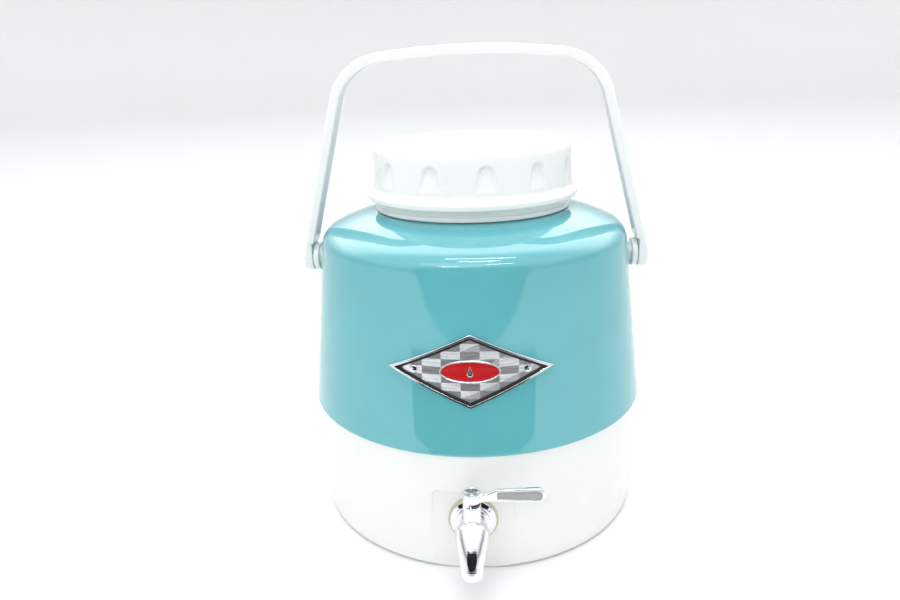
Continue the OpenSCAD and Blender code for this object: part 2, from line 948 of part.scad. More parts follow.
arm_dir = [-sin(arm_lean), cos(arm_lean)];
bar_dir = [-cos(bar_slope), sin(bar_slope)];
arm_foot = [handle_half, arm_bend_z];
bar_peak = [0, handle_top + bar_r * (1 / cos(bar_slope) - 1)];

// The same lines moved inwards by t
function arm_at(t) = arm_foot + t * [-cos(arm_lean), -sin(arm_lean)];
function bar_at(t) = bar_peak - t * [sin(bar_slope), cos(bar_slope)];
function shoulder_at(t) = meet(arm_at(t), arm_dir, bar_at(t), bar_dir);
function peak_at(t) = [0, bar_peak[1] - t / cos(bar_slope)];
function arm_point(t, z) = meet(arm_at(t), arm_dir, [0, z], [1, 0]);
function flip(p) = [-p[0], p[1]];
function with_r(p, r) = [p[0], p[1], r];

// The strap from one arm over the bar to the other, as corners at depth t
function over(t, z) =
    let (foot = arm_point(t, z), knee = shoulder_at(t))
    [
        with_r(foot, 0), with_r(knee, 39 - t), with_r(peak_at(t), bar_r - t),
        with_r(flip(knee), 39 - t), with_r(flip(foot), 0)
    ];

module handle_outline() {
    low = pivot_z - ear_r - 2;
    neck = with_r(arm_point(strap_t, ear_pad_top + 2.4), 1);
    polygon(rounded(concat(
        [[handle_half, low, 0]],
        over(0, arm_bend_z),
        [[-handle_half, low, 0], [-ear_face, low, 0], [-ear_face, ear_pad_top, 1], [-neck[0], neck[1], 1]],
        [for (i = [3:-1:1]) over(strap_t, arm_bend_z)[i]],
        [neck, [ear_face, ear_pad_top, 1], [ear_face, low, 0]]
    )));
}

module handle_channel() {
    low = channel_low;
    polygon(rounded(concat(over(channel_web, low), reversed(over(strap_t + 2, low)))));
}

module handle() {
    color(white)
        difference() {
            intersection() {
                slab_y(-strap_w / 2, strap_w / 2)
                    handle_outline();
                union() {
                    translate([0, 0, pivot_z])
                        rod_x(ear_r, -handle_half - 1, handle_half + 1);
                    translate([-handle_half - 1, -ear_r, pivot_z])
                        cube([2 * handle_half + 2, strap_w, handle_top]);
                }
            }
            slab_y(-channel_w / 2, channel_w / 2)
                handle_channel();
            for (side = [-1, 1])
                translate([0, 0, pivot_z])
                    scale([side, 1, 1]) {
                        rod_x(spindle_r + run, 100, 130);
                        rod_x(recess_r, recess_floor, 130);
                    }
        }
}

base_tub();
base_plug();
belt_shell();
inner_liner();
insulation_foam();
neck_collar();
pivot_base_left();
pivot_base_right();
pivot_screw_left();
pivot_screw_right();
pivot_plate_left();
pivot_plate_right();
badge_plate();
badge_frame();
badge_border();
emblem_rim();
emblem_face();
emblem_drop();
badge_rivet_left();
badge_rivet_right();
tap_washer_outer();
tap_escutcheon();
tap_body();
tap_sleeve();
tap_washer_inner();
tap_nut();
tap_plug();
plug_ring_upper();
plug_ring_lower();
tap_lever();
lever_insert();
lever_screw();
lid_shell();
lid_inner();
lid_foam();
lid_gasket();
handle();
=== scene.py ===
import json
import math

import bmesh
import bpy
import numpy as np
from mathutils import Matrix, Vector


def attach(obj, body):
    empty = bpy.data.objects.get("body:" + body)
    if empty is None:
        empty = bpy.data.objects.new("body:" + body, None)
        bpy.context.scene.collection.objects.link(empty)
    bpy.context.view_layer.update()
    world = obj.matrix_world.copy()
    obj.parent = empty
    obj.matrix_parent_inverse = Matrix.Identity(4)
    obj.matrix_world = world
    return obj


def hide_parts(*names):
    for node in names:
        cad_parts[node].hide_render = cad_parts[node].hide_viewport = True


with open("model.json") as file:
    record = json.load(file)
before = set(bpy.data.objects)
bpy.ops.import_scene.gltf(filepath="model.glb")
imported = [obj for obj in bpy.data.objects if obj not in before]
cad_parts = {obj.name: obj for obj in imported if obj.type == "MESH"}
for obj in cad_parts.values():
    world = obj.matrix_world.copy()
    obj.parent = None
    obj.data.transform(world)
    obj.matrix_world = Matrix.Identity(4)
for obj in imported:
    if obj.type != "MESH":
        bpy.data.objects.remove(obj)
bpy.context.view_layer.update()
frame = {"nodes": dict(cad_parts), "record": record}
nodes = frame["nodes"]
MM = 0.001


# ---- outlines, in mm ----
def arc(centre, r, a0, a1, n):
    """Points on an arc, with its angles in degrees."""
    return [
        (
            centre[0] + r * math.cos(math.radians(a0 + (a1 - a0) * i / n)),
            centre[1] + r * math.sin(math.radians(a0 + (a1 - a0) * i / n)),
        )
        for i in range(n + 1)
    ]


def corner(a, b, c, r, step):
    """Corner b between a and c as an arc of radius r."""
    a, b, c = (np.array(p[:2], float) for p in (a, b, c))
    u = (a - b) / np.linalg.norm(a - b)
    v = (c - b) / np.linalg.norm(c - b)
    half = math.acos(max(-1.0, min(1.0, float(u @ v)))) / 2
    mid = (u + v) / np.linalg.norm(u + v)
    centre = b + mid * r / math.sin(half)
    start = b + u * r / math.tan(half) - centre
    a0 = math.degrees(math.atan2(start[1], start[0]))
    turn = (-1 if u[0] * v[1] - u[1] * v[0] > 0 else 1) * (180 - 2 * math.degrees(half))
    return arc(centre, r, a0, a0 + turn, max(2, math.ceil(abs(turn) / step)))


def outline(points, step=5, guard=0.4, closed=True):
    """An outline whose corners are (x, y, radius).

    A long straight stretch gets a point close to each end, so that it shades flat.
    """
    out = []
    n = len(points)
    for i, b in enumerate(points):
        a, c = points[i - 1], points[(i + 1) % n]
        inner = closed or 0 < i < n - 1
        if len(b) > 2 and b[2] > 0 and inner:
            out += corner(a, b, c, b[2], step)
        else:
            out.append((b[0], b[1]))
    full = []
    for i, p in enumerate(out):
        full.append(p)
        if not closed and i == len(out) - 1:
            break
        q = out[(i + 1) % len(out)]
        d = math.dist(p, q)
        if guard and d > 4 * guard:
            for t in (guard / d, 1 - guard / d):
                full.append((p[0] + (q[0] - p[0]) * t, p[1] + (q[1] - p[1]) * t))
    return full


# ---- meshes, from points in mm ----
def mesh_object(name, verts, faces, body, material, sharp=32, normals=None):
    """A closed mesh that rides on a body."""
    me = bpy.data.meshes.new(name)
    me.from_pydata((np.asarray(verts, float) * MM).tolist(), [], [tuple(f) for f in faces])
    bm = bmesh.new()
    bm.from_mesh(me)
    if normals is None:
        bmesh.ops.remove_doubles(bm, verts=bm.verts, dist=1e-7)
        bmesh.ops.recalc_face_normals(bm, faces=bm.faces)
    bm.to_mesh(me)
    bm.free()
    me.shade_smooth()
    if normals is None:
        me.set_sharp_from_angle(angle=math.radians(sharp))
    else:
        me.normals_split_custom_set_from_vertices(np.asarray(normals, float).tolist())
    ob = bpy.data.objects.new(name, me)
    bpy.context.scene.collection.objects.link(ob)
    me.materials.append(material)
    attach(ob, body)
    return ob


def lathe(points, segments=192, angles=None, shape=None):
    """Points and faces of a closed outline (radius, height) turned about Z.

    shape, where it is given, moves the points of a ring.
    """
    if angles is None:
        a = np.arange(segments) * 2 * math.pi / segments
    else:
        a = np.radians(np.asarray(angles, float))
    n = len(a)
    verts, rows = [], []
    for r, z in points:
        if r < 1e-6:
            rows.append([len(verts)])
            verts.append((0.0, 0.0, z))
            continue
        radius = np.full(n, float(r)) if shape is None else shape(r, z, a)
        rows.append(list(range(len(verts), len(verts) + n)))
        verts += list(zip(radius * np.cos(a), radius * np.sin(a), np.full(n, float(z))))
    faces = []
    for i, row in enumerate(rows):
        nxt = rows[(i + 1) % len(rows)]
        if len(row) == 1 and len(nxt) == 1:
            continue
        for k in range(n):
            j = (k + 1) % n
            if len(row) == 1:
                faces.append((row[0], nxt[k], nxt[j]))
            elif len(nxt) == 1:
                faces.append((row[k], nxt[0], row[j]))
            else:
                faces.append((row[k], nxt[k], nxt[j], row[j]))
    return np.array(verts), faces


def loops_mesh(loops, ring):
    """Points and faces of a row of closed loops with the same count.

    The row closes into a ring, or it is capped at both ends.
    """
    n = len(loops[0])
    verts = np.array([p for loop in loops for p in loop], float)
    faces = []
    last = len(loops) if ring else len(loops) - 1
    for i in range(last):
        a, b = i * n, ((i + 1) % len(loops)) * n
        faces += [(a + k, a + (k + 1) % n, b + (k + 1) % n, b + k) for k in range(n)]
    if not ring:
        faces.append(tuple(range(n)))
        faces.append(tuple(range((len(loops) - 1) * n, len(loops) * n)))
    return verts, faces


def turned_to(verts, axis):
    """Points turned from Z to X, or to -Y."""
    x, y, z = verts.T
    if axis == "X":
        return np.stack([z, y, -x], 1)
    return np.stack([x, -z, y], 1)


# ---- solids from fields: a field is below 0 inside ----
def smooth_min(a, b, k):
    """The smaller of two fields, blended where they differ by less than k."""
    h = np.clip(0.5 + 0.5 * (b - a) / k, 0, 1)
    return b * (1 - h) + a * h - k * h * (1 - h)


def smooth_max(a, b, k):
    return -smooth_min(-a, -b, k)


def polygon_field(points):
    """The signed distance to a closed outline in the plane."""
    p = np.asarray(points, float)
    q = np.roll(p, -1, axis=0)

    def field(x, y):
        best = np.full(np.shape(x), 1e9)
        odd = np.zeros(np.shape(x), bool)
        for (ax, ay), (bx, by) in zip(p, q):
            ex, ey = bx - ax, by - ay
            wx, wy = x - ax, y - ay
            t = np.clip((wx * ex + wy * ey) / (ex * ex + ey * ey + 1e-12), 0, 1)
            best = np.minimum(best, (wx - ex * t) ** 2 + (wy - ey * t) ** 2)
            crosses = (ay > y) != (by > y)
            odd ^= crosses & (x < ex * (y - ay) / (ey if ey else 1e-12) + ax)
        return np.where(odd, -1, 1) * np.sqrt(best)

    return field


def surface_net(field, low, high, step):
    """Points, faces and normals of the surface where a field is 0.

    Each cell that the surface crosses gets one point, which is then moved onto it.
    """
    axes = [np.arange(a, b + step, step) for a, b in zip(low, high)]
    value = field(*np.meshgrid(*axes, indexing="ij"))
    inside = value < 0
    shape = tuple(n - 1 for n in inside.shape)
    offsets = [(i, j, k) for i in (0, 1) for j in (0, 1) for k in (0, 1)]

    def part(a, o):
        return a[o[0] : o[0] + shape[0], o[1] : o[1] + shape[1], o[2] : o[2] + shape[2]]

    count = sum(part(inside, o).astype(np.int8) for o in offsets)
    cells = np.argwhere((count > 0) & (count < 8))
    index = np.full(shape, -1)
    index[tuple(cells.T)] = np.arange(len(cells))
    total, hits = np.zeros((len(cells), 3)), np.zeros(len(cells))
    for a in offsets:
        for axis in range(3):
            if a[axis]:
                continue
            b = list(a)
            b[axis] = 1
            va, vb = (value[tuple((cells + np.array(o)).T)] for o in (a, b))
            cut = (va < 0) != (vb < 0)
            t = va[cut] / (va[cut] - vb[cut])
            point = np.repeat(np.array([a], float), cut.sum(), 0)
            point[:, axis] = t
            total[cut] += point
            hits[cut] += 1
    verts = (cells + total / hits[:, None]) * step + np.array([a[0] for a in axes])
    faces = []
    for axis in range(3):
        u, v = (axis + 1) % 3, (axis + 2) % 3
        ahead = tuple(slice(1, None) if i == axis else slice(None) for i in range(3))
        back = tuple(slice(None, -1) if i == axis else slice(None) for i in range(3))
        edges = np.argwhere(inside[ahead] != inside[back])
        keep = (edges[:, u] > 0) & (edges[:, v] > 0) & (edges[:, u] < shape[u]) & (edges[:, v] < shape[v])
        edges = edges[keep]
        quads = []
        for du, dv in ((-1, -1), (0, -1), (0, 0), (-1, 0)):
            at = edges.copy()
            at[:, u] += du
            at[:, v] += dv
            quads.append(index[tuple(at.T)])
        quads = np.stack(quads, 1)
        flip = ~inside[tuple(edges.T)]
        quads[flip] = quads[flip][:, ::-1]
        faces.append(quads)
    faces = np.concatenate(faces)

    def slope(p, e):
        unit = np.eye(3)
        rise = [field(*(p + unit[i] * e).T) - field(*(p - unit[i] * e).T) for i in range(3)]
        return np.stack(rise, 1) / (2 * e)

    for _ in range(4):
        g = slope(verts, 0.02)
        move = g * (field(*verts.T) / np.maximum((g * g).sum(1), 0.25))[:, None]
        far = np.linalg.norm(move, axis=1)
        verts = verts - move * np.minimum(1, 0.4 * step / np.maximum(far, 1e-9))[:, None]
    normals = slope(verts, 0.35 * step)
    normals /= np.maximum(np.linalg.norm(normals, axis=1), 1e-9)[:, None]
    return verts, faces.tolist(), normals


# ---- materials ----
def material(
    name,
    colour,
    rough,
    metal=0.0,
    spread=0.05,
    tint=0.03,
    cloud=40.0,
    grain=900.0,
    bump=0.00001,
    stretch=(1.0, 1.0, 1.0),
    specular=0.5,
    shade_and_tone=None,
):
    """A procedural material.

    Its colour drifts by tint over clouds, its roughness varies by spread, and a fine
    grain is its bump, in metres. The last argument names a colour on the faces that multiplies it; on the badge
    that colour is painted light and shade.
    """
    m = bpy.data.materials.new(name)
    m.use_nodes = True
    tree = m.node_tree
    link = tree.links.new
    shader = tree.nodes["Principled BSDF"]
    shader.inputs["Metallic"].default_value = metal
    shader.inputs["Specular IOR Level"].default_value = specular
    place = tree.nodes.new("ShaderNodeTexCoord")
    scale = tree.nodes.new("ShaderNodeMapping")
    scale.inputs["Scale"].default_value = stretch
    link(place.outputs["Object"], scale.inputs["Vector"])
    clouds = tree.nodes.new("ShaderNodeTexNoise")
    clouds.inputs["Scale"].default_value = cloud
    clouds.inputs["Detail"].default_value = 5
    link(scale.outputs["Vector"], clouds.inputs["Vector"])
    ramp = tree.nodes.new("ShaderNodeValToRGB")
    ramp.color_ramp.elements[0].position = 0.3
    ramp.color_ramp.elements[1].position = 0.7
    ramp.color_ramp.elements[0].color = [c * (1 - tint) for c in colour] + [1]
    ramp.color_ramp.elements[1].color = [min(1, c * (1 + tint)) for c in colour] + [1]
    link(clouds.outputs["Fac"], ramp.inputs["Fac"])
    base = ramp.outputs["Color"]
    if shade_and_tone:
        attribute = tree.nodes.new("ShaderNodeAttribute")
        attribute.attribute_name = shade_and_tone
        mix = tree.nodes.new("ShaderNodeMix")
        mix.data_type = "RGBA"
        mix.blend_type = "MULTIPLY"
        mix.inputs["Factor"].default_value = 1.0
        link(base, mix.inputs["A"])
        link(attribute.outputs["Color"], mix.inputs["B"])
        base = mix.outputs["Result"]
    link(base, shader.inputs["Base Color"])
    fine = tree.nodes.new("ShaderNodeTexNoise")
    fine.inputs["Scale"].default_value = grain
    fine.inputs["Detail"].default_value = 3
    link(scale.outputs["Vector"], fine.inputs["Vector"])
    mixed = tree.nodes.new("ShaderNodeMath")
    mixed.operation = "MULTIPLY"
    link(clouds.outputs["Fac"], mixed.inputs[0])
    link(fine.outputs["Fac"], mixed.inputs[1])
    gloss = tree.nodes.new("ShaderNodeMapRange")
    gloss.inputs["From Min"].default_value = 0.1
    gloss.inputs["From Max"].default_value = 0.45
    gloss.inputs["To Min"].default_value = max(0.02, rough - spread)
    gloss.inputs["To Max"].default_value = min(1.0, rough + spread)
    link(mixed.outputs["Value"], gloss.inputs["Value"])
    link(gloss.outputs["Result"], shader.inputs["Roughness"])
    relief = tree.nodes.new("ShaderNodeBump")
    relief.inputs["Strength"].default_value = 1.0
    relief.inputs["Distance"].default_value = bump
    link(fine.outputs["Fac"], relief.inputs["Height"])
    link(relief.outputs["Normal"], shader.inputs["Normal"])
    return m


paint = material(
    "turquoise_enamel", (0.117, 0.425, 0.475), 0.06,
    spread=0.02, tint=0.03, cloud=25, grain=420, bump=0.000003, specular=0.8,
)
white = material(
    "white_moulded", (0.83, 0.845, 0.835), 0.24,
    spread=0.06, tint=0.012, cloud=30, grain=1500, bump=0.000006,
)
white_lid = material(
    "white_lid", (0.85, 0.862, 0.852), 0.30,
    spread=0.06, tint=0.010, cloud=35, grain=1800, bump=0.000008,
)
white_strap = material(
    "white_strap", (0.86, 0.87, 0.865), 0.26,
    spread=0.06, tint=0.012, cloud=30, grain=1500, bump=0.000008,
)
liner = material(
    "liner_polymer", (0.86, 0.86, 0.83), 0.42,
    spread=0.08, tint=0.02, cloud=30, grain=900, bump=0.00002,
)
foam = material(
    "insulation", (0.78, 0.70, 0.44), 0.9,
    spread=0.05, tint=0.10, cloud=90, grain=700, bump=0.0004,
)
ivory = material(
    "ivory_washer", (0.56, 0.53, 0.37), 0.45,
    spread=0.08, tint=0.06, cloud=150, grain=2000, bump=0.00002,
)
black_rubber = material(
    "black_rubber", (0.03, 0.03, 0.03), 0.6,
    spread=0.1, tint=0.10, cloud=120, grain=1800, bump=0.00004,
)
silicone = material(
    "silicone", (0.78, 0.78, 0.75), 0.5,
    spread=0.08, tint=0.02, cloud=80, grain=1600, bump=0.00002,
)
chrome = material(
    "chrome_plate", (0.80, 0.81, 0.82), 0.06,
    metal=1.0, spread=0.035, tint=0.02, cloud=120, grain=1500, bump=0.0000015,
)
chrome_trim = material(
    "chrome_trim", (0.74, 0.76, 0.78), 0.13,
    metal=1.0, spread=0.05, tint=0.04, cloud=150, grain=2500, bump=0.000003,
)
steel = material(
    "zinc_steel", (0.62, 0.63, 0.64), 0.30,
    metal=1.0, spread=0.10, tint=0.06, cloud=200, grain=3000, bump=0.00001, stretch=(1, 1, 6),
)
# the badge's facets: a colour on the faces, painted light and shade, multiplies this metal
badge_metal = material(
    "badge_facets", (0.80, 0.81, 0.83), 0.30,
    metal=0.35, spread=0.08, tint=0.05, cloud=260, grain=3200, bump=0.000006, stretch=(0.25, 1, 3), shade_and_tone="shade_and_tone",
)
black = material(
    "black_enamel", (0.012, 0.012, 0.013), 0.35,
    spread=0.04, tint=0.12, cloud=160, grain=1800, bump=0.000004, specular=0.15,
)
red = material(
    "red_enamel", (0.50, 0.012, 0.014), 0.16,
    spread=0.05, tint=0.08, cloud=180, grain=1800, bump=0.000006,
)
inlay = material(
    "lever_inlay", (0.36, 0.375, 0.375), 0.48,
    metal=0.3, spread=0.08, tint=0.05, cloud=260, grain=3200, bump=0.00001, stretch=(0.4, 1, 2.5),
)

LOOKS = {
    "turquoise_paint": paint,
    "white_plastic": white,
    "liner_plastic": liner,
    "foam": foam,
    "ivory_rubber": ivory,
    "black_rubber": black_rubber,
    "clear_silicone": silicone,
    "chrome": chrome,
    "steel": steel,
    "badge_metal": badge_metal,
    "black_enamel": black,
    "red_enamel": red,
    "lever_inlay": inlay,
}
for part in frame["record"]["subparts"]:
    ob = nodes[part["node"]]
    ob.data.materials.clear()
    ob.data.materials.append(LOOKS[part["material_slot"]])

# ---- sizes, in mm, as in the CAD model ----
BELT_R, BELT_Z, LEAN = 117.5, 82.0, 6.5
CORNER_R, DOME_R, SHEET = 14.0, 130.0, 0.8
LEAN_TAN, LEAN_COS = math.tan(math.radians(LEAN)), math.cos(math.radians(LEAN))
PIVOT_Z, TAP_Z, REACH = 177.0, 36.2, 129.5


def shell_r(z):
    """The radius of the shell's side at a height."""
    return BELT_R - LEAN_TAN * (z - BELT_Z)


# ---- steel shell: its side, shoulder and dome meet smoothly ----
SHOULDER_Z = 189.2
DOME_START = 65
COLLAR_HOLE = 64.0
HEM = 3.1
corner_c = (
    shell_r(SHOULDER_Z + CORNER_R * math.sin(math.radians(LEAN))) - CORNER_R * LEAN_COS,
    SHOULDER_Z,
)
dome_c = (
    corner_c[0] + (CORNER_R - DOME_R) * math.cos(math.radians(DOME_START)),
    corner_c[1] + (CORNER_R - DOME_R) * math.sin(math.radians(DOME_START)),
)


def shell_curve(depth):
    """The shell's outline at a depth below its outer face, from above its hem to its collar."""
    end = math.degrees(math.acos((COLLAR_HOLE - dome_c[0]) / (DOME_R - depth)))
    low = BELT_Z + 1.8
    top = corner_c[1] + (CORNER_R - depth) * math.sin(math.radians(LEAN))
    side = [low + (top - low) * t for t in (0, 0.02, 0.25, 0.5, 0.75, 0.97)]
    return (
        [(shell_r(z) - depth / LEAN_COS, z) for z in side]
        + arc(corner_c, CORNER_R - depth, LEAN, DOME_START, 22)
        + arc(dome_c, DOME_R - depth, DOME_START, end, 16)[1:]
    )


shell_lines = (
    [(BELT_R - HEM, BELT_Z), (BELT_R - HEM + 0.4, BELT_Z)]
    + arc((BELT_R - 1.1, BELT_Z + 1.0), 1.0, -90, 0, 8)
    + shell_curve(0)
    + shell_curve(SHEET)[::-1]
    + [(BELT_R - HEM, BELT_Z + SHEET)]
)
shell = mesh_object("steel_shell", *lathe(shell_lines, 320), "jug", paint)
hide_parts("belt_shell")

# ---- base: a turned tub whose front is cut back to a flat panel for the tap ----
BASE_R, FOOT_R, BASE_TOP = 115.5, 114.3, 81.6
SPIGOT_R, SPIGOT_TOP, WALL, FLOOR = 113.9, 96.0, 3.0, 6.5
PANEL_Y, PANEL_Z, PANEL_HALF, PANEL_FOOT = 111.6, 56.4, 25.0, 28.0
FRONT = -math.pi / 2
panel_edge = polygon_field(
    outline(
        [(-PANEL_FOOT, -9, 0), (PANEL_FOOT, -9, 0), (PANEL_HALF, PANEL_Z, 3.3), (-PANEL_HALF, PANEL_Z, 3.3)],
        guard=0,
    )
)


def step_down(x, low, high):
    """1 below low, 0 above high, and smooth between them."""
    t = np.clip((x - low) / (high - low), 0, 1)
    return 1 - t * t * (3 - 2 * t)


def tub_wall(r, z, a):
    """Pulls the front of the tub's wall back to the panel, and its inner face with it."""
    radius = np.full(len(a), float(r))
    if z > PANEL_Z + 5 or r < 106:
        return radius
    turn = np.cos(a - FRONT)
    inner = r < 112.8 and z > FLOOR - 0.1
    plane = (PANEL_Y - (WALL if inner else 0)) / np.maximum(turn, 0.5)
    cut = np.minimum(plane, radius)
    if inner:
        return np.where(np.abs(radius * np.cos(a)) < PANEL_FOOT + 4, cut, radius)
    edge = panel_edge(radius * np.cos(a), np.full(len(a), float(z)))
    share = step_down(edge, -0.55, 0.25) * (turn > 0.5)
    return radius + (cut - radius) * share


wall_rows = [(FOOT_R + (BASE_R - FOOT_R) * z / BASE_TOP, z) for z in np.arange(4.6, PANEL_Z + 2, 0.6)]
tub_lines = (
    outline([(0, FLOOR - 3), (97, FLOOR - 3, 1), (100, 0, 0.6), (FOOT_R, 0, 4), (FOOT_R, 4.4)], closed=False)
    + [(float(r), float(z)) for r, z in wall_rows]
    + outline(
        [
            (BASE_R - 0.3, 62), (BASE_R, BASE_TOP, 0.5), (SPIGOT_R, BASE_TOP, 0.2), (SPIGOT_R, SPIGOT_TOP, 0.8),
            (SPIGOT_R - WALL, SPIGOT_TOP, 0.8), (SPIGOT_R - WALL, BASE_TOP - 4, 3),
            (BASE_R - WALL - 0.4, BASE_TOP - 10, 3), (FOOT_R - WALL, FLOOR, 4), (0, FLOOR),
        ],
        closed=False,
    )
)
front = np.degrees(FRONT)
tub_angles = np.concatenate([np.arange(-18, 18, 0.2), np.arange(18, 342, 1.5)]) + front
tub = mesh_object("base_tub_moulded", *lathe(tub_lines, angles=tub_angles, shape=tub_wall), "jug", white)
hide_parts("base_tub")

# ---- collar under the lid ----
NECK_R, LIP_Z = 56.3, 219.7
collar = mesh_object(
    "collar_ring",
    *lathe(
        outline(
            [
                (NECK_R + 0.2, 209.2, 0.4), (COLLAR_HOLE - 0.4, 209.2, 0.4), (COLLAR_HOLE - 0.4, 212.4, 0),
                (66.3, 212.4, 0.8), (66.3, 215.0, 0.9), (65.2, 215.8, 0.4), (65.2, LIP_Z - 0.4, 0.7),
                (NECK_R + 0.2, LIP_Z - 0.4, 0.4),
            ],
            step=12,
        ),
        256,
    ),
    "jug",
    white,
)
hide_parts("neck_collar")

# ---- lid: twelve finger scoops, each a rounded arch that is deepest at its top ----
LID_TOP, LID_R, LID_FOOT_R, LIP_R, LID_BORE, LID_WALL = 257.5, 66.1, 67.6, 71.3, 61.6, 2.6
SCOOPS, SCOOP_PHASE = 12, 9.0
ARCH_Z, ARCH_R, ARCH_FLARE = 241.2, 5.5, 0.17
SCOOP_LOW, SCOOP_DEEP, SCOOP_DEPTH = 230.5, 245.5, 3.0


def lid_side(r, z, a):
    """Presses the scoops into the lid's side."""
    radius = np.full(len(a), float(r))
    if r < 64 or not SCOOP_LOW < z < 249:
        return radius
    spacing = 2 * math.pi / SCOOPS
    off = (a - FRONT - math.radians(SCOOP_PHASE) + spacing / 2) % spacing - spacing / 2
    u = np.abs(off) * r
    if z > ARCH_Z:
        edge = np.hypot(u, z - ARCH_Z) - ARCH_R
    else:
        edge = u - (ARCH_R + (ARCH_Z - z) * ARCH_FLARE)
    depth = SCOOP_DEPTH * min(1.0, max(0.0, (z - SCOOP_LOW) / (SCOOP_DEEP - SCOOP_LOW))) ** 0.85
    return radius - depth * step_down(edge, -1.9, 0.15)


side_top, side_low = LID_TOP - 9.2, 229.5
side_rows = [
    (LID_R + (LID_FOOT_R - LID_R) * (LID_TOP - z) / (LID_TOP - 227.5), z)
    for z in np.arange(side_top, side_low, -0.45)
]
lid_lines = (
    outline(
        [(0, LID_TOP), (LID_R - 0.4, LID_TOP, 8.5), (side_rows[0][0], side_rows[0][1] + 0.3)],
        step=4,
        closed=False,
    )
    + [(float(r), float(z)) for r, z in side_rows]
    + outline(
        [
            (side_rows[-1][0] + 0.02, side_low), (LID_FOOT_R, 227.5, 3.0), (LIP_R, LIP_Z + 3.6, 1.4),
            (LIP_R, LIP_Z, 1.5), (68, LIP_Z, 0.6), (67, LIP_Z + 0.6, 0.4), (LID_BORE, LIP_Z + 0.6, 0.5),
            (LID_BORE, LID_TOP - LID_WALL, 3), (0, LID_TOP - LID_WALL),
        ],
        step=9,
        closed=False,
    )
)
lid = mesh_object("lid_cap", *lathe(lid_lines, 720, shape=lid_side), "lid", white_lid, sharp=50)
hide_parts("lid_shell")

# ---- handle: a channel-section strap swept round its outline, with an eye at each foot ----
HANDLE_HALF, HANDLE_TOP, STRAP_T = 120.3, 317.0, 6.0
ARM_LEAN, BAR_SLOPE, BAR_R, KNEE_R = math.atan(0.26), math.radians(7), 470.0, 39.0
EAR_R, EAR_FACE, EAR_PAD, CHANNEL_LOW = 10.0, 113.6, 187.6, 193.0
CHANNEL_HALF, CHANNEL_DEEP = 7.8, 4.0


def meet(p, u, q, v):
    """Where two lines meet, each given by a point and a direction."""
    t = ((q[0] - p[0]) * v[1] - (q[1] - p[1]) * v[0]) / (u[0] * v[1] - u[1] * v[0])
    return (p[0] + t * u[0], p[1] + t * u[1])


arm_foot = (HANDLE_HALF, PIVOT_Z + 3)
bar_peak = (0.0, HANDLE_TOP + BAR_R * (1 / math.cos(BAR_SLOPE) - 1))
knee = meet(
    arm_foot,
    (-math.sin(ARM_LEAN), math.cos(ARM_LEAN)),
    bar_peak,
    (-math.cos(BAR_SLOPE), math.sin(BAR_SLOPE)),
)
strap_top = outline(
    [
        (HANDLE_HALF, PIVOT_Z), (*arm_foot, 12), (*knee, KNEE_R), (*bar_peak, BAR_R),
        (-knee[0], knee[1], KNEE_R), (-arm_foot[0], arm_foot[1], 12), (-HANDLE_HALF, PIVOT_Z),
    ],
    step=3,
    guard=0,
    closed=False,
)
foot_turns = (84, 78, 70, 62, 53, 44, 35, 26, 17, 8)
foot_steps = [(HANDLE_HALF, PIVOT_Z - EAR_R * math.sin(math.radians(t))) for t in foot_turns]
path = foot_steps + strap_top + [(-x, z) for x, z in foot_steps[::-1]]
LONGEST = 3.0
full = []
for p, q in zip(path, path[1:]):
    n = max(1, math.ceil(math.dist(p, q) / LONGEST))
    full += [(p[0] + (q[0] - p[0]) * k / n, p[1] + (q[1] - p[1]) * k / n) for k in range(n)]
path = np.array(full + [path[-1]])
extra_rows = [CHANNEL_LOW + dz for dz in (-0.2, 0.2, 0.9)] + [EAR_PAD + dz for dz in (-0.2, 0.5, 1.4, 2.4)]
for z in extra_rows:
    for side in (1, -1):
        x = side * (HANDLE_HALF - (z - arm_foot[1]) * math.tan(ARM_LEAN))
        at = np.argmax((path[1:, 1] - z) * (path[:-1, 1] - z) * (np.sign(path[1:, 0]) == side) < 0)
        path = np.insert(path, at + 1, (x, z), axis=0)
ahead = np.gradient(path, axis=0)
ahead /= np.linalg.norm(ahead, axis=1)[:, None]
outward = np.stack([ahead[:, 1], -ahead[:, 0]], 1)
loops = []
for (x, z), (nx, nz) in zip(path, outward):
    side = 1 if x > 0 else -1
    low = abs(x) > 100 and z < EAR_PAD + 3
    lift = 1.0 if not low else 1 - float(step_down(z, EAR_PAD, EAR_PAD + 2.2))
    inner = np.array([x - STRAP_T * nx, z - STRAP_T * nz]) * lift
    inner += np.array([side * EAR_FACE, z]) * (1 - lift)
    across = np.array([x, z]) - inner
    thick = float(np.linalg.norm(across))
    across /= thick
    half = EAR_R if z >= PIVOT_Z else math.sqrt(max(0.3, EAR_R**2 - (PIVOT_Z - z) ** 2))
    pocket = CHANNEL_DEEP
    if low or z < CHANNEL_LOW + 3:
        pocket *= 1 - float(step_down(z, CHANNEL_LOW - 0.2, CHANNEL_LOW + 0.6))
    pocket = max(pocket, 0.02)
    width = min(CHANNEL_HALF, 0.72 * half)
    top_r, lip_r = min(1.7, 0.3 * half), min(0.8, 0.12 * half)
    section = outline(
        [
            (-half, thick, top_r), (half, thick, top_r), (half, 0, lip_r), (width, 0, min(0.25, 0.4 * pocket)),
            (width, pocket, min(0.9, 0.45 * pocket)), (-width, pocket, min(0.9, 0.45 * pocket)),
            (-width, 0, min(0.25, 0.4 * pocket)), (-half, 0, lip_r),
        ],
        step=17,
        guard=0,
    )
    loops.append([(inner[0] + across[0] * d, y, inner[1] + across[1] * d) for y, d in section])
strap = mesh_object("bail_strap", *loops_mesh(loops, ring=False), "bail", white_strap, sharp=40)
EYE_X, EYE_BORE, HEAD_SEAT, SEAT_DEEP = 115.0, 5.05, 7.2, 3.4
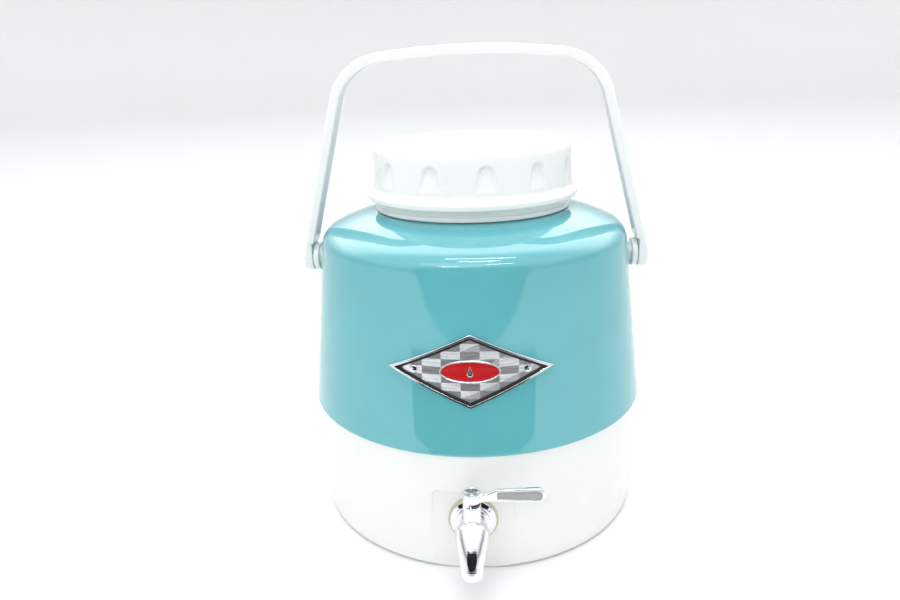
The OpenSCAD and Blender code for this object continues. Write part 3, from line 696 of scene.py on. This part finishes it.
eye_line = [(0, -6), (EYE_BORE, -6), (EYE_BORE, SEAT_DEEP), (HEAD_SEAT, SEAT_DEEP), (HEAD_SEAT, 8), (0, 8)]
cut_v, cut_f = lathe(eye_line, 96)
for side in (1, -1):
    v = turned_to(cut_v, "X") + np.array([EYE_X, 0, 0])
    v = v * np.array([side, 1, 1]) + np.array([0, 0, PIVOT_Z])
    cutter = mesh_object(f"eye_cutter_{side}", v, cut_f, "bail", white)
    hole = strap.modifiers.new("eye", "BOOLEAN")
    hole.operation, hole.solver, hole.object = "DIFFERENCE", "EXACT", cutter
    bpy.context.view_layer.update()
    done = bpy.data.meshes.new_from_object(strap.evaluated_get(bpy.context.evaluated_depsgraph_get()))
    strap.modifiers.clear()
    strap.data = done
    bpy.data.objects.remove(cutter)
strap.data.shade_smooth()
strap.data.set_sharp_from_angle(angle=math.radians(40))
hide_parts("handle")

# ---- badge: a faceted plate in a bevelled frame, laid round the shell ----
BADGE_W, BADGE_H, BADGE_Z, RIVET_X = 97.4, 44.0, 135.2, 33.0
FRAME_W, BORDER_W = (3.2, 1.45), (7.2, 3.25)


def on_shell(x, z, h):
    """The point in front of the shell's face that is h above it."""
    r = shell_r(z) + h / LEAN_COS
    return (x, -math.sqrt(r * r - x * x), z)


def rhombus_loop(trim, h, n=28):
    """The badge's outline, smaller by trim at its corners, h above the shell."""
    w, k = BADGE_W / 2 - trim[0], BADGE_H / 2 - trim[1]
    corners = [(-w, 0), (0, -k), (w, 0), (0, k)]
    out = []
    for i, (x, z) in enumerate(corners):
        x1, z1 = corners[(i + 1) % 4]
        out += [on_shell(x + (x1 - x) * t / n, BADGE_Z + z + (z1 - z) * t / n, h) for t in range(n)]
    return out


def oval_loop(a, b, h, n=72):
    """An oval of half-axes a and b round the badge's middle, h above the shell."""
    turns = [2 * math.pi * i / n for i in range(n)]
    return [on_shell(a * math.cos(t), BADGE_Z + b * math.sin(t), h) for t in turns]


def between(a, b, t):
    """The point a share t of the way from a to b."""
    return (a[0] + (b[0] - a[0]) * t, a[1] + (b[1] - a[1]) * t)


frame_profile = [
    (0, 0.05), (0, 1.7), (0.05, 2.0), (0.14, 2.16), (0.5, 2.2), (0.86, 2.2), (0.95, 2.16), (1, 2.05), (1, 0.05),
]
ring = loops_mesh([rhombus_loop(between((0, 0), FRAME_W, t), h) for t, h in frame_profile], ring=True)
rim = mesh_object("badge_frame_cast", *ring, "jug", chrome_trim, sharp=45)
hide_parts("badge_frame")
start = (FRAME_W[0] + 0.12, FRAME_W[1] + 0.05)
border_profile = [(0, 0.95), (0, 2.0), (0.12, 2.08), (0.3, 2.0), (0.85, 1.25), (1, 1.1), (1, 0.95)]
ring = loops_mesh([rhombus_loop(between(start, BORDER_W, t), h) for t, h in border_profile], ring=True)
border = mesh_object("badge_border_enamel", *ring, "jug", black, sharp=45)
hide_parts("badge_border")

TILE_W, TILE_H, SUB = 11.3, 4.7, 6
FACET_LOW, FACET_HIGH = 0.5, 0.9


def facet(x, z):
    """Height and painted shade of the plate: tiles cut into wedges that lean opposite ways, each painted light
    or dark by the way it leans.
    """
    u, v = x / TILE_W + 0.5, z / TILE_H + 0.5
    i, j = math.floor(u), math.floor(v)
    fu, fv = u - i, v - j
    odd = (i + j) % 2
    wedge = (i * 7 + j * 5) % 3 == 0 and i >= 0
    slant = fu if odd else 1 - fu
    h = FACET_LOW + (FACET_HIGH - FACET_LOW) * (0.2 + 0.6 * slant)
    # painted light and shade: tiles that lean one way are painted light, tiles that lean the other way dark,
    # and some wedges mid-grey; the last factor is random tone
    shade_and_tone = 1.0 if odd else 0.36
    if wedge and fv < fu:
        shade_and_tone = 0.62
    shade_and_tone *= 0.94 + 0.12 * ((i * 31 + j * 17) % 7) / 6
    return h, shade_and_tone


plate = bpy.data.meshes.new("badge_plate_facets")
bm = bmesh.new()
columns, rows = 10, 11
cols = np.arange(-columns // 2 * SUB, (columns // 2) * SUB + 1) * TILE_W / SUB
lines = np.arange(-(rows // 2 + 1) * SUB, (rows // 2 + 1) * SUB + 1) * TILE_H / SUB + TILE_H / 2
grid = [[bm.verts.new((x, z, 0)) for z in lines] for x in cols]
for i in range(len(cols) - 1):
    for j in range(len(lines) - 1):
        a, b, c, d = grid[i][j], grid[i + 1][j], grid[i + 1][j + 1], grid[i][j + 1]
        bm.faces.new((a, b, c))
        bm.faces.new((a, c, d))
w, k = BADGE_W / 2 - FRAME_W[0] - 0.3, BADGE_H / 2 - FRAME_W[1] - 0.15
for sx in (1, -1):
    for sz in (1, -1):
        bmesh.ops.bisect_plane(
            bm,
            geom=bm.verts[:] + bm.edges[:] + bm.faces[:],
            plane_co=(sx * w, 0, 0),
            plane_no=(sx * k, sz * w, 0),
            clear_outer=True,
            dist=1e-5,
        )
bmesh.ops.triangulate(bm, faces=[f for f in bm.faces if len(f.verts) > 3])
# each face's colour carries the painted light and shade of its facet
shade_layer = bm.faces.layers.float_color.new("shade_and_tone")
for f in bm.faces:
    centre = f.calc_center_median()
    t = facet(centre.x, centre.y)[1]
    f[shade_layer] = (t, t * 1.005, t * 1.02, 1)
bm.verts.ensure_lookup_table()
bm.faces.ensure_lookup_table()
top_faces = list(bm.faces)
heights = {v: facet(v.co.x * 0.9999, v.co.y * 0.9999)[0] for v in bm.verts}
made = bmesh.ops.extrude_face_region(bm, geom=top_faces)
lower = [e for e in made["geom"] if isinstance(e, bmesh.types.BMVert)]
under = set(lower)
for v in bm.verts:
    h = 0.05 if v in under else heights[v]
    v.co = Vector(on_shell(v.co.x, BADGE_Z + v.co.y, h)) * MM
bmesh.ops.recalc_face_normals(bm, faces=bm.faces)
bm.to_mesh(plate)
bm.free()
plate.shade_flat()
plate.materials.append(badge_metal)
plate_ob = bpy.data.objects.new("badge_plate_facets", plate)
bpy.context.scene.collection.objects.link(plate_ob)
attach(plate_ob, "jug")
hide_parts("badge_plate")

# half-axes and height above the shell
rim_profile = [
    (18, 7, 0.95), (18, 7, 1.7), (17.75, 6.75, 2.05), (17.4, 6.4, 2.18), (17.05, 6.05, 2.05),
    (16.8, 5.8, 1.75), (16.8, 5.8, 0.95),
]
ring = loops_mesh([oval_loop(*p) for p in rim_profile], ring=True)
rim = mesh_object("emblem_rim_cast", *ring, "jug", chrome_trim, sharp=50)
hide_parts("emblem_rim")
dome = [
    (16.7, 5.7, 0.95), (16.7, 5.7, 1.45), (16.2, 5.25, 1.58), (14, 4.4, 1.67), (10, 3.1, 1.74),
    (5, 1.6, 1.78), (1, 0.4, 1.79),
]
disc = loops_mesh([oval_loop(*p) for p in dome], ring=False)
face = mesh_object("emblem_face_enamel", *disc, "jug", red, sharp=50)
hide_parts("emblem_face")


def drop_loop(scale, h, n=48):
    """A water drop: round below, drawn up to a point."""
    out = []
    for i in range(n):
        t = 2 * math.pi * i / n
        lift = math.sin(t)
        x = 1.9 * math.cos(t) * (1 - 0.55 * max(0.0, lift) ** 1.5)
        z = 1.9 * lift if lift < 0 else 1.9 * lift + 2.2 * lift**3
        out.append(on_shell(scale * x, BADGE_Z - 1 + scale * z, h))
    return out


drop_profile = [(0.98, 1.6), (0.98, 1.95), (0.9, 2.12), (0.7, 2.22), (0.4, 2.28), (0.1, 2.3)]
disc = loops_mesh([drop_loop(*p) for p in drop_profile], ring=False)
drop = mesh_object("emblem_drop_cast", *disc, "jug", chrome_trim, sharp=50)
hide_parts("emblem_drop")

rivet_line = [(0, -0.7), (1.3, -0.7), (1.3, 1), (2.6, 1, 0.1), (2.35, 1.75, 0.5), (0.9, 2.25, 1.2), (0, 2.28)]
rivet_v, rivet_f = lathe(outline(rivet_line, step=12, guard=0, closed=False), 64)
for side, name in ((-1, "left"), (1, "right")):
    face_r = shell_r(BADGE_Z)
    round_shell = Matrix.Rotation(side * math.asin(RIVET_X / face_r), 3, "Z")
    turn = round_shell @ Matrix.Rotation(math.radians(90 - LEAN), 3, "X")
    centre = round_shell @ Vector((0, -face_r, 0)) + Vector((0, 0, BADGE_Z))
    v = rivet_v @ np.array(turn).T + np.array(centre)
    rivet = mesh_object(f"badge_rivet_head_{name}", v, rivet_f, "jug", chrome_trim, sharp=50)
    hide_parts(f"badge_rivet_{name}")

# ---- tap: turned washers, and a cast body and lever as blended fields ----
WASHER_Y, PLATE_Y, SHANK_END = 113.1, 115.7, 82.0
BONNET_TOP, PLUG_R = 58.3, 4.0
HUB_Z, HUB_TOP, CUP_R, LEVER_REACH, LEVER_T = 58.6, 66.6, 4.5, 42.6, 2.8

WASHER_BACK, PLATE_BACK, RING_BORE, WASHER_R, PLATE_R = 111.63, 113.13, 8.2, 15.4, 14.4

for name, line, step, look, node, slot in (
    (
        "tap_washer_ring",
        [
            (RING_BORE, WASHER_BACK, 0), (WASHER_R, WASHER_BACK, 0.4), (WASHER_R, WASHER_Y, 0.4),
            (RING_BORE, WASHER_Y, 0),
        ],
        15,
        ivory,
        "tap_washer_outer",
        "ivory_rubber",
    ),
    (
        "tap_escutcheon_ring",
        [
            (RING_BORE, PLATE_BACK, 0), (PLATE_R, PLATE_BACK, 0.2), (PLATE_R, PLATE_BACK + 1.0, 0.8),
            (11.6, PLATE_Y, 2.5), (RING_BORE, PLATE_Y, 0),
        ],
        8,
        chrome,
        "tap_escutcheon",
        "chrome",
    ),
):
    v, f = lathe(outline(line, step=step), 128)
    piece = mesh_object(name, turned_to(v, "-Y") + np.array([0, 0, TAP_Z]), f, "jug", look)
    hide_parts(node)

# the spout's path: forward of the valve's axis, above the shank's axis, and radius
SPOUT_LOW, ELBOW_Y, MOUTH_Y, MOUTH_LEN = TAP_Z - 13.2, 9.0, 18.6, 4.0
spout_knots = np.array([
    (3.5, 3.3, 10.1), (6.0, 1.7, 9.9), (8.4, 0.2, 9.4), (11.2, -1.7, 8.6), (13.0, -3.1, 8.1), (14.4, -4.4, 7.6),
    (15.7, -6.0, 7.2), (16.8, -7.7, 6.9), (17.7, -9.3, 6.7), (18.3, -10.8, 6.5), (18.6, -12.2, 6.4),
    (18.6, -14.2, 6.3),
])
# the column round the valve: height and radius
column_line = np.array([(20, 7.6), (36.2, 8.0), (43.2, 7.7), (45.2, 6.8), (47.2, 5.6), (48.4, 5.4), (62, 5.4)])


def smooth_curve(knots, n, width):
    """A dense, smooth line through rows of numbers, spaced along the first two."""
    along = np.concatenate([[0], np.cumsum(np.linalg.norm(np.diff(knots[:, :2], axis=0), axis=1))])
    grid = np.linspace(0, along[-1], n)
    rows = np.stack([np.interp(grid, along, knots[:, k]) for k in range(knots.shape[1])], 1)
    kernel = np.hanning(2 * width + 3)[1:-1]
    kernel /= kernel.sum()
    head, tail = 2 * rows[0] - rows[width:0:-1], 2 * rows[-1] - rows[-2 : -width - 2 : -1]
    padded = np.concatenate([head, rows, tail])
    return np.stack([np.convolve(padded[:, k], kernel, "valid") for k in range(rows.shape[1])], 1)


spout_line = smooth_curve(spout_knots, 26, 2)
column_curve = smooth_curve(column_line, 200, 8)
column_slope = np.gradient(column_curve[:, 1], column_curve[:, 0])


def rod_field(x, y, z, start, end):
    """A rod with round ends between two points (y, z, radius)."""
    dy, dz = end[0] - start[0], end[1] - start[1]
    t = np.clip(((y - start[0]) * dy + (z - start[1]) * dz) / (dy * dy + dz * dz), 0, 1)
    away = np.sqrt(x * x + (y - start[0] - t * dy) ** 2 + (z - start[1] - t * dz) ** 2)
    return away - start[2] - t * (end[2] - start[2])


def tap_field(x, y, z):
    """The tap's body, about the valve's axis, with the arm along +Y."""
    rho = np.sqrt(x * x + y * y)
    r = np.interp(z, column_curve[:, 0], column_curve[:, 1])
    slope = np.interp(z, column_curve[:, 0], column_slope)
    column = (rho - r) / np.sqrt(1 + slope * slope)
    column = smooth_max(column, TAP_Z - 11.5 - z, 4)
    column = smooth_max(column, z - BONNET_TOP, 0.5)
    path = [(-forward, TAP_Z + height, radius) for forward, height, radius in spout_line]
    spout = rod_field(x, y, z, path[0], path[1])
    for start, end in zip(path[1:], path[2:]):
        spout = np.minimum(spout, rod_field(x, y, z, start, end))
    spout = smooth_max(spout, SPOUT_LOW - z, 0.9)
    out = np.sqrt(x * x + (z - TAP_Z) ** 2)
    arm = smooth_max(out - 8.5, -y, 0.5)
    arm = np.maximum(arm, y - (REACH - SHANK_END))
    collar_y = REACH - PLATE_Y
    flange = smooth_max(out - 10.6, np.abs(y - (collar_y - 0.95)) - 0.9, 0.8)
    shape = smooth_min(column, spout, 0.7)
    shape = smooth_min(shape, arm, 2.0)
    shape = smooth_min(shape, flange, 0.8)
    tab_a = np.arctan2(y, x) + math.radians(98)
    tab = np.maximum(np.abs(tab_a) * rho - 0.5, np.maximum(4.65 - rho, rho - 5.2))
    tab = np.maximum(tab, np.maximum(z - BONNET_TOP - 2.1, BONNET_TOP - 1 - z))
    shape = np.minimum(shape, tab)
    bores = np.maximum(rho - (PLUG_R + 0.05), TAP_Z - 8.5 - z)
    bores = np.minimum(bores, np.maximum(out - 3.6, -ELBOW_Y - y))
    turn, top = (-ELBOW_Y, TAP_Z, 3.6), (-MOUTH_Y, SPOUT_LOW + MOUTH_LEN - 1, 3.6)
    bores = np.minimum(bores, rod_field(x, y, z, turn, top))
    mouth = np.sqrt(x * x + (y + MOUTH_Y) ** 2)
    bores = np.minimum(bores, np.maximum(mouth - 5.0, z - SPOUT_LOW - MOUTH_LEN))
    return smooth_max(shape, -bores, 0.3)


TAP_STEP, LEVER_STEP = 0.38, 0.24
v, f, n = surface_net(tap_field, (-11.5, -26.5, 22.0), (11.5, REACH - SHANK_END + 0.6, 61.0), TAP_STEP)
piece = mesh_object("tap_body_cast", v + np.array([0, -REACH, 0]), f, "jug", chrome, normals=n)
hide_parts("tap_body")

low = HUB_TOP - 5.4
paddle = outline(
    [
        (13.2, low, 2.6), (LEVER_REACH, HUB_TOP - 6.3, 4.6), (LEVER_REACH, HUB_TOP + 3.5, 4.6),
        (13.2, HUB_TOP + 2.0, 2.6),
    ],
    step=10,
    guard=0,
)
paddle_field = polygon_field(paddle)
neck_field = polygon_field(
    [
        (0, HUB_Z + 1.6), (6.2, HUB_Z + 1.1), (10, HUB_TOP - 6.1), (16, HUB_TOP - 5.2), (18, HUB_TOP + 1),
        (13.5, HUB_TOP + 1.4), (9, HUB_TOP - 0.4), (0, HUB_TOP - 0.9),
    ]
)


def lever_field(x, y, z):
    """The lever's hub and paddle, about the valve's axis, with the paddle along +X."""
    rho = np.sqrt(x * x + y * y)
    flat = smooth_min(paddle_field(x, z), neck_field(x, z), 1.6)
    blade = smooth_max(flat, np.abs(y) - LEVER_T / 2, 0.9)
    hub_r = 5.42 + 0.36 * np.clip((z - HUB_TOP + 3) / 3, 0, 1) ** 2
    hub = smooth_max(rho - hub_r, np.abs(z - (HUB_Z + HUB_TOP) / 2) - (HUB_TOP - HUB_Z) / 2, 0.5)
    shape = smooth_min(hub, blade, 1.2)
    shape = np.maximum(shape, np.where(rho < 5.4, z - HUB_TOP, shape))
    cup = np.maximum(rho - CUP_R, HUB_TOP - 2.2 - z)
    socket = np.maximum(np.maximum(np.abs(x), np.abs(y)) - 2.6, z - HUB_Z - 3.6)
    angle = np.degrees(np.arctan2(y, x))
    notch = np.maximum(np.abs(angle + 53) - 55, 0) * rho / 57
    notch = np.where(np.abs(angle + 53) < 55, -np.minimum(0.8, (55 - np.abs(angle + 53)) * rho / 57), notch)
    notch = np.maximum(np.maximum(notch, PLUG_R + 0.3 - rho), z - HUB_Z - 2.4)
    pocket = np.maximum(paddle_field(x, z) + 1.5, y + LEVER_T / 2 - 0.7)
    cut = np.minimum(np.minimum(cup, rho - 1.75), np.minimum(socket, np.minimum(notch, pocket)))
    return smooth_max(shape, -cut, 0.25)


box = (-6.6, -6.6, HUB_Z - 0.8), (LEVER_REACH + 0.8, 6.6, HUB_TOP + 4.4)
v, f, n = surface_net(lever_field, *box, LEVER_STEP)
piece = mesh_object("tap_lever_cast", v + np.array([0, -REACH, 0]), f, "lever", chrome, normals=n)
# painted shade: the faces inside the notch in the hub's foot take the black rubber material, for the shadow in
# that gap
piece.data.materials.append(black_rubber)
for face in piece.data.polygons:
    x, y, z = face.center / MM
    bearing = math.degrees(math.atan2(y + REACH, x))
    if math.hypot(x, y + REACH) < 5.1 and z < HUB_Z + 2.3 and -106 < bearing < 0:
        face.material_index = 1
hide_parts("tap_lever")

RIM = 1.58
inlay_lines = outline(
    [
        (13.2 + 0.95, low + RIM, 1.8), (LEVER_REACH - RIM, HUB_TOP - 6.3 + RIM, 3.1),
        (LEVER_REACH - RIM, HUB_TOP + 3.5 - RIM, 3.1), (13.2 + 0.95, HUB_TOP + 2 - RIM, 1.8),
    ],
    step=8,
    guard=0,
)
mid_x, mid_z = np.mean(inlay_lines, axis=0)
# each layer's scale, and its depth behind the paddle's face
layers = [(1.0, 0.68), (1.0, 0.3), (0.985, 0.2), (0.95, 0.15)]
loops = []
for scale, depth in layers:
    y = -LEVER_T / 2 + depth - REACH
    loops.append([(mid_x + (x - mid_x) * scale, y, mid_z + (z - mid_z) * scale) for x, z in inlay_lines])
piece = mesh_object("lever_inlay_strip", *loops_mesh(loops, ring=False), "lever", inlay, sharp=40)
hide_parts("lever_insert")

# ---- the stage, the lights and the camera ----
floor_material = material(
    "floor", (0.90, 0.905, 0.905), 0.55,
    spread=0.05, tint=0.004, cloud=3, grain=60, bump=0.00001,
)
tree = floor_material.node_tree
shader = tree.nodes["Principled BSDF"]
# painted shade: the floor's colour is multiplied down from 1 at the floor to 0.66 at 0.22 m up the bowl's wall,
# for the light falling off up the wall
height = tree.nodes.new("ShaderNodeSeparateXYZ")
painted_shade_ramp = tree.nodes.new("ShaderNodeMapRange")
painted_shade_mix = tree.nodes.new("ShaderNodeMix")
painted_shade_mix.data_type = "RGBA"
painted_shade_mix.blend_type = "MULTIPLY"
painted_shade_mix.inputs["Factor"].default_value = 1.0
painted_shade_ramp.inputs["From Max"].default_value = 0.22
painted_shade_ramp.inputs["To Min"].default_value = 1.0
painted_shade_ramp.inputs["To Max"].default_value = 0.66
place = next(node for node in tree.nodes if node.type == "TEX_COORD")
tree.links.new(place.outputs["Object"], height.inputs["Vector"])
tree.links.new(height.outputs["Z"], painted_shade_ramp.inputs["Value"])
tree.links.new(shader.inputs["Base Color"].links[0].from_socket, painted_shade_mix.inputs["A"])
tree.links.new(painted_shade_ramp.outputs["Result"], painted_shade_mix.inputs["B"])
tree.links.new(painted_shade_mix.outputs["Result"], shader.inputs["Base Color"])
BOWL_FLAT, BOWL_BEND, BOWL_TOP = 900.0, 550.0, 1150.0
BOWL_R, BOWL_WALL = BOWL_FLAT + BOWL_BEND, 10
bowl_line = (
    [(BOWL_FLAT * t, 0) for t in (0, 0.2, 0.4, 0.6, 0.8)]
    + arc((BOWL_FLAT, BOWL_BEND), BOWL_BEND, -90, 0, 24)
    + [(BOWL_R, BOWL_TOP), (BOWL_R + BOWL_WALL, BOWL_TOP), (BOWL_R + BOWL_WALL, -BOWL_WALL), (0, -BOWL_WALL)]
)


def stage_object(name, verts, faces, material):
    """A smooth mesh of the stage, from points in mm."""
    me = bpy.data.meshes.new(name)
    me.from_pydata((np.asarray(verts, float) * MM).tolist(), [], [tuple(f) for f in faces])
    me.shade_smooth()
    me.set_sharp_from_angle(angle=math.radians(40))
    me.materials.append(material)
    ob = bpy.data.objects.new(name, me)
    bpy.context.scene.collection.objects.link(ob)
    return ob


bowl = stage_object("floor", *lathe(bowl_line, 160), floor_material)
bowl.location = (0, 0, -0.0002)


def only_reflected(ob):
    """Leaves an object or a light for mirror-like reflections alone."""
    ob.visible_camera = False
    ob.visible_diffuse = False
    ob.visible_shadow = False
    ob.visible_transmission = False
    ob.visible_volume_scatter = False


TENT_LOW, TENT_GLOW = 300.0, 3.6

# the dark room that the gloss and the chrome see in front of the stage
card_material = material(
    "dark_card", (0.02, 0.021, 0.022), 0.9,
    spread=0.05, tint=0.1, cloud=3, grain=50, bump=0.00001, specular=0.0,
)
NEAR, FAR, NEAR_HALF, FAR_HALF, CARD_TOP = -345.0, -1000.0, 225.0, 880.0, 800.0
card = stage_object(
    "front_card",
    [
        (-NEAR_HALF, NEAR, 2), (NEAR_HALF, NEAR, 2), (FAR_HALF, FAR, 2), (-FAR_HALF, FAR, 2),
        (FAR_HALF, FAR, CARD_TOP), (-FAR_HALF, FAR, CARD_TOP),
    ],
    [(0, 1, 2, 3), (3, 2, 4, 5)],
    card_material,
)
only_reflected(card)
# the tent round the stage: dim in front, brighter upwards and behind
glow = bpy.data.materials.new("tent_glow")
glow.use_nodes = True
tree = glow.node_tree
tree.nodes.clear()
output = tree.nodes.new("ShaderNodeOutputMaterial")
emission = tree.nodes.new("ShaderNodeEmission")
emission.inputs["Color"].default_value = (0.97, 0.99, 1.0, 1)
tent_place = tree.nodes.new("ShaderNodeTexCoord")
parts = tree.nodes.new("ShaderNodeSeparateXYZ")
product = tree.nodes.new("ShaderNodeMath")
product.operation = "MULTIPLY"
tree.links.new(tent_place.outputs["Object"], parts.inputs["Vector"])
ramps = (("Z", TENT_LOW * MM, 0.9, 0.9, TENT_GLOW), ("Y", -0.2, 0.6, 0.36, 1.0))
for i, (axis, start_at, end_at, low, high) in enumerate(ramps):
    ramp = tree.nodes.new("ShaderNodeMapRange")
    ramp.interpolation_type = "SMOOTHSTEP"
    for socket, value in zip(("From Min", "From Max", "To Min", "To Max"), (start_at, end_at, low, high)):
        ramp.inputs[socket].default_value = value
    tree.links.new(parts.outputs[axis], ramp.inputs["Value"])
    tree.links.new(ramp.outputs["Result"], product.inputs[i])
tree.links.new(product.outputs["Value"], emission.inputs["Strength"])
tree.links.new(emission.outputs["Emission"], output.inputs["Surface"])
tent_line = [(1300, TENT_LOW), (1300, 600), (1300, 900), (1300, 1450), (1100, 1600), (600, 1640), (1, 1650)]
TENT_SIDES = 96
turns = [2 * math.pi * i / TENT_SIDES for i in range(TENT_SIDES)]
tent_verts = [(r * math.cos(t), r * math.sin(t), z) for t in turns for r, z in tent_line]
tent_faces = []
for i in range(TENT_SIDES):
    a, b = i * len(tent_line), (i + 1) % TENT_SIDES * len(tent_line)
    tent_faces += [(a + j, b + j, b + j + 1, a + j + 1) for j in range(len(tent_line) - 1)]
tent = stage_object("tent", tent_verts, tent_faces, glow)
only_reflected(tent)

world = bpy.data.worlds.new("studio")
world.use_nodes = True
background = world.node_tree.nodes["Background"]
background.inputs["Color"].default_value = (0.93, 0.965, 0.97, 1)
background.inputs["Strength"].default_value = 0.72
bpy.context.scene.world = world


def area_light(name, place, aim, size, power):
    """A rectangle of light that the camera doesn't see."""
    light = bpy.data.lights.new(name, "AREA")
    light.shape = "RECTANGLE"
    light.size, light.size_y = size
    light.energy = power
    ob = bpy.data.objects.new(name, light)
    ob.location = place
    ob.rotation_euler = (Vector(aim) - Vector(place)).to_track_quat("-Z", "Y").to_euler()
    ob.visible_camera = False
    bpy.context.scene.collection.objects.link(ob)
    return ob


area_light("ceiling", (0.0, 0.0, 1.7), (0, 0, 0.1), (1.3, 1.6), 20.5)
area_light("front_fill", (-0.3, -1.2, 1.1), (0, 0, 0.15), (1.2, 0.8), 4.5)


def reflected_light(name, place, aim, size, radiance):
    """A light of a given radiance that only gloss and chrome show."""
    light = area_light(name, place, aim, size, radiance * math.pi * size[0] * size[1])
    only_reflected(light)
    return light


tubes = [
    ((0.08, -0.60, 1.2), (0.45, 0.05)),
    ((0.45, -1.02, 1.2), (0.45, 0.05)),
    ((-0.31, -0.98, 0.9), (0.28, 0.03)),
    ((0.10, -0.66, 1.2), (0.30, 0.02)),
    ((0.10, -0.40, 1.58), (0.90, 0.05)),
]
TUBE_RADIANCE = 22
for i, (place, size) in enumerate(tubes):
    reflected_light(f"tube_{i}", place, (place[0], place[1] - 0.0001, 0), size, TUBE_RADIANCE)

bpy.context.scene.view_settings.view_transform = "Standard"

camera = bpy.data.cameras.new("camera")
camera.sensor_width = 36.0
camera.lens = 27.93
camera.clip_start = 0.01
camera_ob = bpy.data.objects.new("camera", camera)
YAW, PITCH, ROLL = -0.0684, 0.313, -0.032
ahead = Vector((math.sin(YAW) * math.cos(PITCH), math.cos(YAW) * math.cos(PITCH), -math.sin(PITCH)))
right = Vector((math.cos(YAW), -math.sin(YAW), 0))
up = right.cross(ahead)
turned_right = math.cos(ROLL) * right + math.sin(ROLL) * up
turned_up = -math.sin(ROLL) * right + math.cos(ROLL) * up
pose = Matrix((turned_right, turned_up, -ahead)).transposed().to_4x4()
pose.translation = Vector((0.0151, -0.4817, 0.2986))
camera_ob.matrix_world = pose
bpy.context.scene.collection.objects.link(camera_ob)
bpy.context.scene.camera = camera_ob

bpy.context.view_layer.update()
